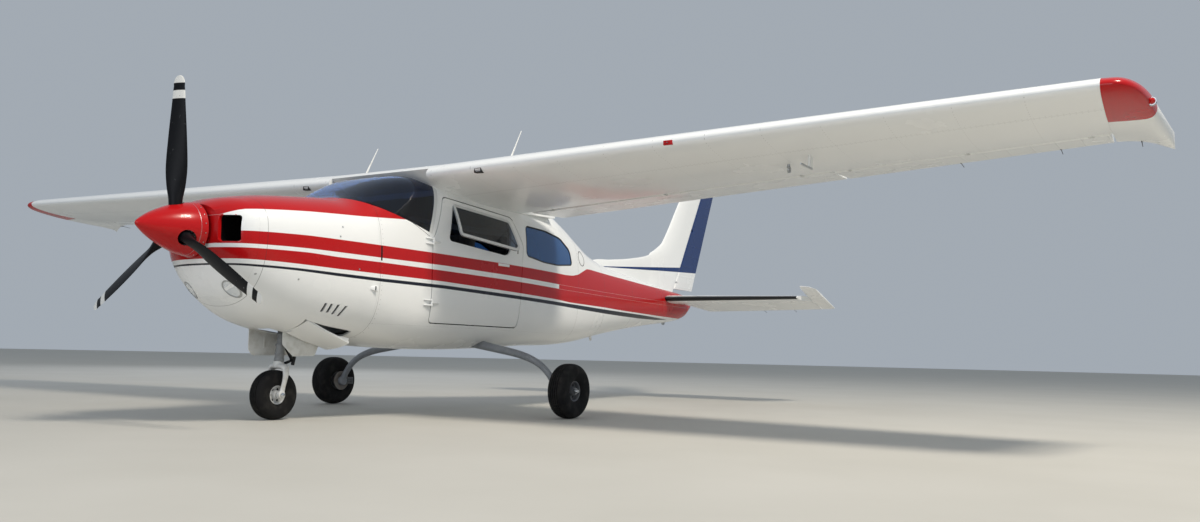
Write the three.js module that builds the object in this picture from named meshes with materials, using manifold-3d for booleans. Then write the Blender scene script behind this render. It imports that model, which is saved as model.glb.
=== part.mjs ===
// A light aircraft: a high cantilever wing, one engine, six seats and a tricycle gear that is down.
// Millimetres. +X is the aircraft's left, +Z is up, and the nose points towards -Y. The origin is
// on the ground, midway between the spinner's tip and the aft end of the rudder. A station is a
// distance aft of the spinner's tip, and place() turns it into Y.
import * as THREE from "three";
import { mergeVertices } from "three/addons/utils/BufferGeometryUtils.js";
import Module from "manifold-3d";

const wasm = await Module();
wasm.setup();

// The whole aircraft
const LENGTH = 8585;
const HEIGHT = 2950;
const FIT = 0.4; // between pieces that touch
const CLEAR = 8; // round a piece that moves

// Wall thicknesses
const COWL_WALL = 12;
const CABIN_WALL = 36;
const TAIL_WALL = 16;
const GLASS = 6;
const GLASS_SINK = 5;

// Body sections along the fuselage
const COLUMNS = ["station", "half", "wide", "top", "low", "roundTop", "roundLow"];
const BODY = [
  [430, 255, 1300, 1470, 1112, 2.2, 2.2],
  [500, 385, 1300, 1510, 966, 2.5, 2.3],
  [600, 450, 1290, 1540, 840, 2.7, 2.3],
  [780, 503, 1260, 1575, 716, 2.8, 2.4],
  [1000, 533, 1220, 1603, 650, 2.9, 2.6],
  [1240, 550, 1180, 1630, 614, 3.0, 2.8],
  [1480, 562, 1150, 1665, 600, 3.0, 3.0],
  [1660, 567, 1130, 1775, 594, 3.1, 3.2],
  [1860, 571, 1110, 1872, 590, 3.6, 3.3],
  [2090, 575, 1100, 1925, 588, 4.6, 3.4],
  [2600, 578, 1100, 1950, 585, 5.0, 3.4],
  [3300, 573, 1095, 1950, 585, 5.0, 3.4],
  [3920, 532, 1080, 1920, 590, 4.4, 3.2],
  [4300, 480, 1080, 1835, 600, 3.6, 3.0],
  [4600, 436, 1080, 1722, 618, 3.2, 2.8],
  [4930, 388, 1080, 1600, 655, 2.9, 2.6],
  [5400, 325, 1090, 1510, 730, 2.6, 2.4],
  [6000, 252, 1100, 1450, 815, 2.4, 2.3],
  [6600, 190, 1120, 1392, 885, 2.3, 2.2],
  [7170, 135, 1145, 1340, 945, 2.2, 2.2],
  [7580, 88, 1175, 1306, 1020, 2.1, 2.1],
  [7780, 40, 1205, 1262, 1130, 2.0, 2.0],
];
const RING = 24; // points round a section
const INNER_RING = 16; // and round the inside of a wall
const NOSE = 430;
const BOWL_END = 600;
const FIREWALL = 1590;
const CABIN_END = 4450;
const TAIL_END = 7600;
const COWL_SPLIT = 1205; // height of the joint between the upper and lower cowl
const FLOOR_SPLIT = 715; // height of the joint between belly and side walls
const CEILING = 1762; // underside of the wing box over the cabin

// Cabin openings in side view, station and height
const WINDSHIELD = [
  [1415, 1730], [1470, 1652], [1630, 1600], [1870, 1522], [2120, 1452], [2225, 1812], [2092, 1990],
];
const DOOR = [
  [2165, 745], [2165, 1400], [2200, 1460], [2302, 1758], [3190, 1702], [3365, 1475], [3325, 745],
];
const DOOR_WINDOW = [
  [2352, 1412], [2408, 1722], [3160, 1676], [3172, 1400], [3112, 1362],
];
const REAR_WINDOW = [
  [3425, 1655], [3425, 1392], [3730, 1357], [3940, 1350], [4155, 1374], [4125, 1540], [3930, 1620],
  [3730, 1655],
];
const VENT_OPEN = 24; // degrees that the left door's window stands open

// Engine and propeller
const HUB_Z = 1294;
const PROP_STATION = 282;
const PROP_RADIUS = 1016;
const HUB_HALF = 75; // half the hub's length
const HUB_RADIUS = 105;
const SHAFT_RADIUS = 60;
const SPINNER_BASE = 405;
const SPINNER_RADIUS = 186;
const ENGINE = { from: 665, to: 1480, half: 390, low: 1030, top: 1432 };

// Wing, from the root to the joint with the tip fairing
const WING = {
  root: { x: 575, lead: 2090, leadZ: 1912, trail: 3920, trailZ: 1796 },
  tip: { x: 5280, lead: 2158, leadZ: 2040, trail: 3317, trailZ: 1956 },
};
// Wing section in shares of the chord: distance aft, height above and depth below the chord line
const FOIL = [
  [0, 0.0, 0.0],
  [0.012, 0.023, 0.016],
  [0.05, 0.045, 0.029],
  [0.12, 0.069, 0.04],
  [0.24, 0.088, 0.049],
  [0.38, 0.094, 0.052],
  [0.54, 0.084, 0.047],
  [0.7, 0.059, 0.034],
  [0.85, 0.03, 0.017],
  [1.0, 0.002, 0.001],
];
const FLAP_HINGE = 0.735;
const AILERON_HINGE = 0.765;
const FLAP = { from: 625, to: 3452, hinges: [0.08, 0.5, 0.92] };
const AILERON = { from: 3474, to: 5266, hinges: [0.06, 0.52, 0.94] };
const SPLIT_X = (FLAP.to + AILERON.from) / 2;
// Tip fairing: x, leading edge, trailing edge, drop below the wing, share of the thickness
const TIP = [
  [5280.6, 2158, 3317, 0, 1.0],
  [5400, 2178, 3322, 6, 0.97],
  [5500, 2235, 3335, 26, 0.78],
  [5565, 2325, 3350, 52, 0.5],
  [5600, 2440, 3365, 84, 0.22],
];

// Tail
const STABILISER = { hinge: 7420, z: 1218, tip: 1818 };
const ELEVATOR_TUBE = 20;
const DROOP = 15; // degrees that the parked elevator hangs
const FIN_ROOT = 1290;

// Landing gear
const NOSE_WHEEL = { station: 1140, radius: 180, width: 128, bead: 66 };
const MAIN_WHEEL = { station: 2980, radius: 222, width: 160, bead: 80, x: 1350 };
const STEER_TILT = 6; // degrees that the steering axis leans aft at its top
const AXLE = 17;
const WHEEL_SIDES = 24;
// Main leg: x, height, radius
const LEG = [
  [330, 600, 46],
  [620, 550, 41],
  [820, 514, 37],
  [960, 474, 34],
  [1060, 426, 31],
  [1140, 360, 29],
  [1222, 250, 27],
];

const FINISHES = {
  white: [0xf1f1ec, 0.35, 0.0],
  red: [0xc4101c, 0.3, 0.0],
  navy: [0x1d4a86, 0.35, 0.0],
  black: [0x1b1c1e, 0.5, 0.0],
  glass: [0x26343c, 0.08, 0.0],
  metal: [0x9da3a6, 0.4, 0.8],
  rubber: [0x151515, 0.85, 0.0],
  cloth: [0x7d7a75, 0.9, 0.0],
};

// Shapes

const place = (station) => station - LENGTH / 2;
const at = (x, station, z) => new THREE.Vector3(x, place(station), z);
const radians = THREE.MathUtils.degToRad;

function solidFrom(points, faces) {
  let volume = 0;
  for (let i = 0; i < faces.length; i += 3) {
    const [a, b, c] = [points[faces[i]], points[faces[i + 1]], points[faces[i + 2]]];
    volume += a.dot(new THREE.Vector3().crossVectors(b, c));
  }
  if (volume < 0) faces.reverse();
  const vertProperties = new Float32Array(points.length * 3);
  points.forEach((point, i) => point.toArray(vertProperties, i * 3));
  const triVerts = new Uint32Array(faces);
  return new wasm.Manifold(new wasm.Mesh({ numProp: 3, vertProperties, triVerts }));
}

function solidOf(geometry) {
  geometry.deleteAttribute("normal");
  geometry.deleteAttribute("uv");
  const merged = mergeVertices(geometry, 1e-3);
  const spots = merged.getAttribute("position");
  const points = [];
  for (let i = 0; i < spots.count; i += 1) {
    points.push(new THREE.Vector3().fromBufferAttribute(spots, i));
  }
  return solidFrom(points, Array.from(merged.index.array));
}

// Rings of equal count, joined side by side and closed by a fan at each end. The faces are split
// the other way on the right, so that a form is the same on both sides.
function loft(rings) {
  const count = rings[0].length;
  const points = rings.flat();
  const faces = [];
  for (let i = 0; i < rings.length - 1; i += 1) {
    for (let k = 0; k < count; k += 1) {
      const a = i * count + k;
      const b = i * count + ((k + 1) % count);
      if (points[a].x + points[b].x > 0) faces.push(a, b, b + count, a, b + count, a + count);
      else faces.push(a, b, a + count, b, b + count, a + count);
    }
  }
  [0, rings.length - 1].forEach((row, end) => {
    const middle = new THREE.Vector3();
    rings[row].forEach((point) => middle.addScaledVector(point, 1 / count));
    points.push(middle);
    for (let k = 0; k < count; k += 1) {
      const pair = [row * count + k, row * count + ((k + 1) % count)];
      faces.push(points.length - 1, pair[end ? 0 : 1], pair[end ? 1 : 0]);
    }
  });
  return solidFrom(points, faces);
}

function block(x, station, z) {
  const geometry = new THREE.BoxGeometry(x[1] - x[0], station[1] - station[0], z[1] - z[0]);
  geometry.translate(
    (x[0] + x[1]) / 2,
    place((station[0] + station[1]) / 2),
    (z[0] + z[1]) / 2,
  );
  return solidOf(geometry);
}

function rod(from, to, radius, sides = 16, radiusTo = radius) {
  const along = new THREE.Vector3().subVectors(to, from);
  const geometry = new THREE.CylinderGeometry(radiusTo, radius, along.length(), sides);
  const turn = new THREE.Quaternion().setFromUnitVectors(
    new THREE.Vector3(0, 1, 0),
    along.clone().normalize(),
  );
  geometry.applyQuaternion(turn);
  geometry.translate(...from.clone().add(to).multiplyScalar(0.5).toArray());
  return solidOf(geometry);
}

// An outline of corners with rounded turns, as a flat shape.
function rounded(corners, radius) {
  const shape = new THREE.Shape();
  corners.forEach(([u, v], i) => {
    const corner = new THREE.Vector2(u, v);
    const before = new THREE.Vector2(...corners.at(i - 1));
    const after = new THREE.Vector2(...corners[(i + 1) % corners.length]);
    const reach = Math.min(radius, before.distanceTo(corner) / 2.2, after.distanceTo(corner) / 2.2);
    const enter = before.sub(corner).setLength(reach).add(corner);
    const leave = after.sub(corner).setLength(reach).add(corner);
    if (i === 0) shape.moveTo(enter.x, enter.y);
    else shape.lineTo(enter.x, enter.y);
    shape.quadraticCurveTo(corner.x, corner.y, leave.x, leave.y);
  });
  shape.closePath();
  return shape;
}

// A side outline of stations and heights, from one X to another.
function sidePrism(corners, x, radius = 1, curveSegments = 4) {
  const flat = corners.map(([station, z]) => [place(station), z]);
  const geometry = new THREE.ExtrudeGeometry(rounded(flat, radius), {
    depth: x[1] - x[0],
    bevelEnabled: false,
    curveSegments,
  });
  geometry.applyMatrix4(
    new THREE.Matrix4().set(0, 0, 1, x[0], 1, 0, 0, 0, 0, 1, 0, 0, 0, 0, 0, 1),
  );
  return solidOf(geometry);
}

// The same outline, grown outwards by a distance (negative shrinks it).
function grown(corners, distance) {
  let area = 0;
  corners.forEach(([u, v], i) => {
    const [nextU, nextV] = corners[(i + 1) % corners.length];
    area += u * nextV - nextU * v;
  });
  const side = Math.sign(area);
  const edges = corners.map(([u, v], i) => {
    const [nextU, nextV] = corners[(i + 1) % corners.length];
    const size = Math.hypot(nextU - u, nextV - v);
    const normal = [(side * (nextV - v)) / size, (-side * (nextU - u)) / size];
    return { normal, reach: u * normal[0] + v * normal[1] + distance };
  });
  return edges.map((edge, i) => {
    const last = edges.at(i - 1);
    const cross = last.normal[0] * edge.normal[1] - last.normal[1] * edge.normal[0];
    if (Math.abs(cross) < 1e-3) return corners[i].map((c, k) => c + distance * edge.normal[k]);
    return [
      (last.reach * edge.normal[1] - edge.reach * last.normal[1]) / cross,
      (last.normal[0] * edge.reach - edge.normal[0] * last.reach) / cross,
    ];
  });
}

// A round tube through points, each with its own radius.
function taperedTube(points, radii, sides = 14) {
  const side = new THREE.Vector3();
  const rings = points.map((point, i) => {
    const before = points[Math.max(i - 1, 0)];
    const after = points[Math.min(i + 1, points.length - 1)];
    const along = new THREE.Vector3().subVectors(after, before).normalize();
    if (i === 0) side.set(0, 1, 0).cross(along).normalize();
    side.addScaledVector(along, -side.dot(along)).normalize();
    const other = new THREE.Vector3().crossVectors(along, side);
    return Array.from({ length: sides }, (_, k) => {
      const turn = (2 * Math.PI * k) / sides;
      return point.clone()
        .addScaledVector(side, radii[i] * Math.cos(turn))
        .addScaledVector(other, radii[i] * Math.sin(turn));
    });
  });
  return loft(rings);
}

// A closed profile of radius and axial distance, turned round an axis through a point along X.
function turnedAlongX(profile, centre, segments) {
  const outline = profile.map(([radius, axial]) => new THREE.Vector2(radius, axial));
  outline.push(outline[0].clone());
  const geometry = new THREE.LatheGeometry(outline, segments, Math.PI / segments);
  geometry.rotateZ(-Math.PI / 2);
  geometry.translate(...centre.toArray());
  return solidOf(geometry);
}

const ACROSS = new THREE.Vector3(1, 0, 0);
const AFT = new THREE.Vector3(0, 1, 0);
const join = (...solids) => solids.reduce((whole, piece) => whole.add(piece));
const mirrored = (solid) => solid.mirror([1, 0, 0]);

function turned(solid, pivot, axis, degrees) {
  const matrix = new THREE.Matrix4()
    .makeTranslation(pivot)
    .multiply(new THREE.Matrix4().makeRotationAxis(axis, radians(degrees)))
    .multiply(new THREE.Matrix4().makeTranslation(pivot.clone().negate()));
  return solid.transform(matrix.toArray());
}

// Hinges along an axis: an arm from the fixed part, and a pin across the notch that holds it.
const NOTCH = { width: 32, arm: 18, pin: 7, behind: 19, ahead: 30 };

function hinges({ start, end, shares, radius, reach, width = NOTCH.width }) {
  const along = new THREE.Vector3().subVectors(end, start).normalize();
  const ahead = AFT.clone().negate().addScaledVector(along, AFT.dot(along)).normalize();
  const up = new THREE.Vector3().crossVectors(along, ahead);
  const box = (centre, wide, from, to, tall) => {
    const geometry = new THREE.BoxGeometry(wide, to - from, tall);
    geometry.translate(0, (from + to) / 2, 0);
    geometry.applyMatrix4(new THREE.Matrix4().makeBasis(along, ahead, up));
    geometry.translate(...centre.toArray());
    return solidOf(geometry);
  };
  const spots = shares.map((share) => start.clone().lerp(end, share));
  const notches = spots.map((spot) =>
    box(spot, width, -NOTCH.behind, radius + NOTCH.ahead, 4 * radius));
  const brackets = spots.map((spot) => {
    const half = width / 2 - FIT;
    const [from, to] = [-half, half].map((d) => spot.clone().addScaledVector(along, d));
    return join(
      box(spot, NOTCH.arm, 0, reach, Math.min(24, 1.2 * radius)),
      rod(from, to, NOTCH.pin, 10),
    );
  });
  return { notches: join(...notches), brackets: join(...brackets) };
}

const model = new THREE.Group();

function add(name, solid, finish) {
  const made = solid.getMesh();
  const geometry = new THREE.BufferGeometry();
  geometry.setAttribute("position", new THREE.BufferAttribute(made.vertProperties, 3));
  geometry.setIndex(new THREE.BufferAttribute(made.triVerts, 1));
  geometry.computeVertexNormals();
  const [color, roughness, metalness] = FINISHES[finish];
  const mesh = new THREE.Mesh(
    geometry,
    new THREE.MeshStandardMaterial({ color, roughness, metalness }),
  );
  mesh.name = name;
  model.add(mesh);
}

// Adds a piece made on the aircraft's left and its mirror image on the right.
function addPair(name, solid, finish) {
  add(`${name}_left`, solid, finish);
  add(`${name}_right`, mirrored(solid), finish);
}

// Fuselage sections, smooth between the rows of BODY

function rowSlope(row, column) {
  const before = BODY[Math.max(row - 1, 0)];
  const after = BODY[Math.min(row + 1, BODY.length - 1)];
  return (after[column] - before[column]) / (after[0] - before[0]);
}

function sectionAt(station) {
  let row = 1;
  while (row < BODY.length - 1 && station > BODY[row][0]) row += 1;
  const [low, high] = [BODY[row - 1], BODY[row]];
  const span = high[0] - low[0];
  const t = THREE.MathUtils.clamp((station - low[0]) / span, 0, 1);
  const section = {};
  COLUMNS.forEach((name, column) => {
    const [p, q] = [low[column], high[column]];
    const [m, n] = [rowSlope(row - 1, column) * span, rowSlope(row, column) * span];
    section[name] =
      (2 * t ** 3 - 3 * t ** 2 + 1) * p + (t ** 3 - 2 * t ** 2 + t) * m +
      (3 * t ** 2 - 2 * t ** 3) * q + (t ** 3 - t ** 2) * n;
  });
  return section;
}

function bodyRing(station, inset) {
  const { half, wide, top, low, roundTop, roundLow } = sectionAt(station);
  const count = inset > GLASS_SINK + GLASS ? INNER_RING : RING;
  return Array.from({ length: count }, (_, k) => {
    const turn = (2 * Math.PI * k) / count;
    const [across, up] = [Math.cos(turn), Math.sin(turn)];
    const power = 2 / (up >= 0 ? roundTop : roundLow);
    const reach = (up >= 0 ? top - wide : wide - low) - inset;
    const x = (half - inset) * Math.sign(across) * Math.abs(across) ** power;
    return at(x, station, wide + reach * Math.sign(up) * Math.abs(up) ** power);
  });
}

const CURVED_STATIONS = [455, 550, 690, 1760, 1970]; // more sections where the form bends most

// The fuselage's form between two stations, all its surface moved in by the inset.
function body(inset, from, to) {
  const rows = [...BODY.map((row) => row[0]), ...CURVED_STATIONS];
  const between = rows.filter((station) => station > from && station < to).sort((a, b) => a - b);
  return loft([from, ...between, to].map((station) => bodyRing(station, inset)));
}

const FAR = 700; // past the fuselage's widest
const outside = body(-FIT, NOSE, BODY.at(-1)[0]);
const GLAZED = { from: 1380, to: 4400 }; // stations that the windows lie between
const glassBand = body(GLASS_SINK, GLAZED.from, GLAZED.to)
  .subtract(body(GLASS_SINK + GLASS, GLAZED.from - 1, GLAZED.to + 1));
const LINER_FROM = 2040; // the flat ceiling starts here
const cabinInside = body(CABIN_WALL, FIREWALL - 100, CABIN_END + 1)
  .subtract(block([-FAR, FAR], [LINER_FROM, CABIN_END + 2], [CEILING, CEILING + 340]));

// Nose: bowl with two air inlets, upper and lower cowl with the cooling outlets

const INLET = { near: 232, far: 420, low: 1212, top: 1386, behind: 25 };
const inlet = block(
  [INLET.near, INLET.far],
  [NOSE - 10, BOWL_END - INLET.behind],
  [INLET.low, INLET.top],
);
const inlets = join(inlet, mirrored(inlet));
const shaftHole = rod(at(0, NOSE - 20, HUB_Z), at(0, NOSE + 60, HUB_Z), HUB_RADIUS, 24);
const cowlInside = body(COWL_WALL, NOSE + COWL_WALL, FIREWALL + 1);
add(
  "nose_bowl",
  body(0, NOSE, BOWL_END).subtract(cowlInside).subtract(inlets).subtract(shaftHole),
  "red",
);

const COWL_FLAP = { from: 1090, to: FIREWALL - CLEAR, near: 135, far: 370, low: 560, top: 800 };
const COWL_FLAP_GAP = 6;
const COWL_FLAP_OPEN = 12; // degrees below closed, as it stands when parked
const WELL = { half: 112, from: 985, to: 1455 };
const cowlFlapAxis = at(0, COWL_FLAP.from + 8, sectionAt(COWL_FLAP.from).low + 14);
const cowlFlapHinge = hinges({
  start: cowlFlapAxis.clone().setX(COWL_FLAP.near),
  end: cowlFlapAxis.clone().setX(COWL_FLAP.near + 80),
  shares: [0.5],
  radius: 8,
  reach: 8 + COWL_FLAP_GAP + 24,
  width: 60,
});
const outlet = (grow) =>
  block(
    [COWL_FLAP.near - grow, COWL_FLAP.far + grow],
    [COWL_FLAP.from - grow, COWL_FLAP.to + grow],
    [COWL_FLAP.low - 50, COWL_FLAP.top],
  );
const cowl = body(0, BOWL_END + FIT, FIREWALL - FIT)
  .subtract(body(COWL_WALL, BOWL_END - 1, FIREWALL + 1));
const cowlBody = cowl.subtract(sidePrism(grown(WINDSHIELD, FIT), [-FAR, FAR]));
add(
  "cowl_upper",
  cowlBody.intersect(
    block([-FAR, FAR], [BOWL_END, FIREWALL], [COWL_SPLIT + FIT, 1800]),
  ),
  "white",
);
add(
  "cowl_lower",
  cowlBody
    .intersect(block([-FAR, FAR], [BOWL_END, FIREWALL], [500, COWL_SPLIT]))
    .subtract(block([-WELL.half, WELL.half], [WELL.from, WELL.to], [500, 800]))
    .subtract(outlet(COWL_FLAP_GAP))
    .subtract(mirrored(outlet(COWL_FLAP_GAP)))
    .add(cowlFlapHinge.brackets)
    .add(mirrored(cowlFlapHinge.brackets)),
  "white",
);
const closedFlap = cowl.intersect(outlet(0)).subtract(cowlFlapHinge.notches);
addPair("cowl_flap", turned(closedFlap, cowlFlapAxis, ACROSS, -COWL_FLAP_OPEN), "white");

// Firewall with the arms that carry the nose leg, and the engine on its mount

const ARM = { near: 48, far: 66, from: 1150, low: 700, top: 760 };
const insideWalls = body(CABIN_WALL + FIT, FIREWALL - 100, CABIN_END + 1);
const arms = [1, -1].map((side) => {
  const x = [side * ARM.near, side * ARM.far].sort((a, b) => a - b);
  return block(x, [ARM.from, FIREWALL + 8], [ARM.low, ARM.top]);
});
const STRUT_FOOT = NOSE_WHEEL.station + 12; // station of the steering axis at the axle's height
const tilt = Math.tan(radians(STEER_TILT));
const steerAt = (z) => at(0, STRUT_FOOT + (z - NOSE_WHEEL.radius) * tilt, z);
const trunnionHeight = (ARM.low + ARM.top) / 2;
const trunnion = steerAt(trunnionHeight);
const pinHole = rod(
  trunnion.clone().setX(-90),
  trunnion.clone().setX(90),
  12 + FIT,
  20,
);
add(
  "firewall",
  join(
    insideWalls.intersect(block([-FAR, FAR], [FIREWALL + FIT, FIREWALL + 12], [500, 1800])),
    ...arms,
  ).subtract(pinHole),
  "metal",
);
const mounts = [[1, 0], [1, 1], [-1, 0], [-1, 1]].map(([side, high]) =>
  rod(
    at(side * 300, ENGINE.to - 20, high ? ENGINE.top - 60 : ENGINE.low + 60),
    at(side * 330, FIREWALL, high ? ENGINE.top - 20 : ENGINE.low - 80),
    18,
    10,
  ));
add(
  "engine_block",
  join(
    block([-ENGINE.half, ENGINE.half], [ENGINE.from, ENGINE.to], [ENGINE.low, ENGINE.top]),
    ...mounts,
  ).subtract(block([-FAR, FAR], [FIREWALL, FIREWALL + 60], [900, 1500])),
  "metal",
);

// Propeller: hub, shaft and three blades in one node, and the spinner over them

// Blade sections: distance from the axis, chord, thickness, pitch in degrees
const BLADE = [
  [90, 84, 84, 50],
  [185, 88, 70, 48],
  [270, 118, 44, 42],
  [400, 148, 30, 34],
  [600, 140, 22, 27],
  [800, 118, 15, 22],
  [970, 88, 9, 19],
  [PROP_RADIUS, 34, 6, 18],
];
const BLADE_POINTS = 10;
const PROP_TURN = -1; // degrees of the first blade from straight up

function blade(turn) {
  const rings = BLADE.map(([radius, chord, thick, pitch]) =>
    Array.from({ length: BLADE_POINTS }, (_, k) => {
      const angle = (2 * Math.PI * k) / BLADE_POINTS;
      const across = (chord / 2) * Math.cos(angle);
      const deep = (thick / 2) * Math.sin(angle);
      const lean = radians(pitch);
      return at(
        across * Math.cos(lean) - deep * Math.sin(lean),
        PROP_STATION + across * Math.sin(lean) + deep * Math.cos(lean),
        HUB_Z + radius,
      );
    }));
  return turned(loft(rings), at(0, 0, HUB_Z), AFT, turn);
}

const bladeTurns = [0, 120, 240].map((turn) => turn + PROP_TURN);
add(
  "propeller",
  join(
    rod(at(0, PROP_STATION - HUB_HALF, HUB_Z), at(0, PROP_STATION + HUB_HALF, HUB_Z), HUB_RADIUS, 20),
    rod(at(0, PROP_STATION, HUB_Z), at(0, ENGINE.from - FIT, HUB_Z), SHAFT_RADIUS, 20),
    ...bladeTurns.map(blade),
  ),
  "black",
);
// Spinner: station and radius, outside and inside its wall
const SPINNER = [
  [0, 3], [12, 19], [40, 42], [90, 76], [150, 108], [220, 139], [300, 166],
  [SPINNER_BASE, SPINNER_RADIUS],
];
const SPINNER_INSIDE = [[18, 14], [90, 68], [220, 131], [SPINNER_BASE + 1, SPINNER_RADIUS - 6]];
const SPINNER_SIDES = 20;

const spinnerForm = (rows) =>
  loft(rows.map(([station, radius]) =>
    Array.from({ length: SPINNER_SIDES }, (_, k) => {
      const turn = (2 * Math.PI * k) / SPINNER_SIDES;
      return at(radius * Math.cos(turn), station, HUB_Z + radius * Math.sin(turn));
    })));

const SHANK_HOLE = { radius: 56, from: 100, to: 260 };
const shankHoles = bladeTurns.map((turn) =>
  turned(
    rod(
      at(0, PROP_STATION, HUB_Z + SHANK_HOLE.from),
      at(0, PROP_STATION, HUB_Z + SHANK_HOLE.to),
      SHANK_HOLE.radius,
      10,
    ),
    at(0, 0, HUB_Z),
    AFT,
    turn,
  ));
const backPlate = rod(
  at(0, PROP_STATION + HUB_HALF + FIT, HUB_Z),
  at(0, PROP_STATION + HUB_HALF + 7, HUB_Z),
  SPINNER_RADIUS - 8,
  SPINNER_SIDES,
);
const shaftBore = rod(
  at(0, SPINNER_BASE - 80, HUB_Z),
  at(0, SPINNER_BASE, HUB_Z),
  SHAFT_RADIUS + FIT,
  20,
);
add(
  "spinner",
  spinnerForm(SPINNER)
    .subtract(spinnerForm(SPINNER_INSIDE))
    .add(backPlate)
    .subtract(shaftBore)
    .subtract(join(...shankHoles)),
  "red",
);

// Cabin: belly, floor, side walls with doors and windows, roof with the wing box

const cabinShell = body(0, FIREWALL + FIT, CABIN_END - FIT).subtract(cabinInside);
const cabinSkin = cabinShell.subtract(sidePrism(grown(WINDSHIELD, FIT), [-FAR, FAR]));
// Joint between the roof and the side walls: station, height
const ROOF_LINE = [
  [FIREWALL - 10, 1800], [2230, 1800], [2290, 1778], [3190, 1722], [3400, 1708],
  [CABIN_END + 10, 1700],
];
const underRoof = sidePrism(
  [[FIREWALL - 10, FLOOR_SPLIT + FIT], ...ROOF_LINE, [CABIN_END + 10, FLOOR_SPLIT + FIT]],
  [0.2, FAR],
);
add(
  "belly",
  cabinSkin.intersect(block([-FAR, FAR], [FIREWALL, CABIN_END], [500, FLOOR_SPLIT])),
  "white",
);
const sideWall = cabinSkin
  .intersect(underRoof)
  .subtract(sidePrism(grown(DOOR, CLEAR), [0, FAR], 40))
  .subtract(sidePrism(REAR_WINDOW, [0, FAR], 45));
// Door hinges: one knuckle on the door between two on the wall, each with its leaf
const DOOR_HINGE = { x: 592, station: 2150, heights: [900, 1385], radius: 8, leaf: 38 };
const DOOR_KNUCKLE = { half: 14, leafHalf: 12, inward: 45, overSkin: 9 };
const WALL_KNUCKLE = { half: 11.6, leafHalf: 10, inward: 40, apart: 26 };
const knuckle = (z, half) =>
  rod(
    at(DOOR_HINGE.x, DOOR_HINGE.station, z - half),
    at(DOOR_HINGE.x, DOOR_HINGE.station, z + half),
    DOOR_HINGE.radius,
    10,
  );
const hingeLeaves = DOOR_HINGE.heights.map((z) =>
  knuckle(z, DOOR_KNUCKLE.half).add(block(
    [DOOR_HINGE.x - DOOR_KNUCKLE.inward, DOOR_HINGE.x],
    [DOOR_HINGE.station, DOOR_HINGE.station + DOOR_HINGE.leaf],
    [z - DOOR_KNUCKLE.leafHalf, z + DOOR_KNUCKLE.leafHalf],
  ).subtract(block(
    [0, DOOR_HINGE.x - DOOR_KNUCKLE.overSkin],
    [DOOR_HINGE.station, DOOR[0][0] + 4],
    [z - DOOR_KNUCKLE.leafHalf - 1, z + DOOR_KNUCKLE.leafHalf + 1],
  ))));
const jambHeights = DOOR_HINGE.heights.flatMap((z) => [z - WALL_KNUCKLE.apart, z + WALL_KNUCKLE.apart]);
const jambLeaves = jambHeights.map((z) =>
  knuckle(z, WALL_KNUCKLE.half).add(block(
    [DOOR_HINGE.x - WALL_KNUCKLE.inward, DOOR_HINGE.x],
    [DOOR_HINGE.station - DOOR_HINGE.leaf, DOOR_HINGE.station],
    [z - WALL_KNUCKLE.leafHalf, z + WALL_KNUCKLE.leafHalf],
  )));
const jamb = join(...jambLeaves);
addPair("cabin_side", sideWall.add(jamb), "white");
const FLOOR_TOP = 742;
const SILL = 448; // the floor stops here at the doors
const doorway = block([SILL, FAR], [DOOR[0][0] - CLEAR, DOOR[5][0] + CLEAR], [600, 800]);
const floorPlate = insideWalls
  .intersect(block([-FAR, FAR], [FIREWALL + 13, CABIN_END - 60], [FLOOR_TOP - 18, FLOOR_TOP]))
  .subtract(doorway)
  .subtract(mirrored(doorway));
add("cabin_floor", floorPlate, "metal");
const bulkhead = insideWalls
  .intersect(block([-FAR, FAR], [CABIN_END - 55, CABIN_END - 45], [500, CEILING - FIT]));
add("aft_bulkhead", bulkhead, "cloth");

// Wing form, ruled from root to tip

function foilRing(edge, thick, cutAt) {
  const chord = edge.trail - edge.lead;
  const rise = edge.trailZ - edge.leadZ;
  const rows = FOIL.filter(([fraction]) => fraction < (cutAt > 0.9 ? cutAt - 0.01 : 0.6));
  const next = FOIL[rows.length];
  const last = rows.at(-1);
  const t = (cutAt - last[0]) / (next[0] - last[0]);
  rows.push(last.map((value, i) => value + t * (next[i] - value)));
  const point = ([fraction, upper, lower], side) =>
    at(
      edge.x,
      edge.lead + fraction * chord,
      edge.leadZ + fraction * rise + side * thick * chord * (side > 0 ? upper : lower),
    );
  const above = rows.map((row) => point(row, 1));
  const below = rows.slice(1).map((row) => point(row, -1));
  return [...above.reverse(), ...below];
}

function wingEdge(x) {
  const t = (x - WING.root.x) / (WING.tip.x - WING.root.x);
  const edge = {};
  Object.keys(WING.root).forEach((key) => {
    edge[key] = WING.root[key] + t * (WING.tip[key] - WING.root[key]);
  });
  return edge;
}

// Hinge point and nose radius of a control surface at one X.
function noseAt(x, fraction) {
  const edge = wingEdge(x);
  const chord = edge.trail - edge.lead;
  const over = FOIL.findIndex((row) => row[0] > fraction);
  const [p, q] = [FOIL[over - 1], FOIL[over]];
  const t = (fraction - p[0]) / (q[0] - p[0]);
  const upper = (p[1] + t * (q[1] - p[1])) * chord;
  const lower = (p[2] + t * (q[2] - p[2])) * chord;
  const middle = edge.leadZ + fraction * (edge.trailZ - edge.leadZ) + (upper - lower) / 2;
  return { centre: at(x, edge.lead + fraction * chord, middle), radius: (upper + lower) / 2, edge };
}

function cutBefore(x, fraction) {
  const { radius, edge } = noseAt(x, fraction);
  return fraction - (radius + CLEAR) / (edge.trail - edge.lead);
}

const NOSE_STEPS = 6;

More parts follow.
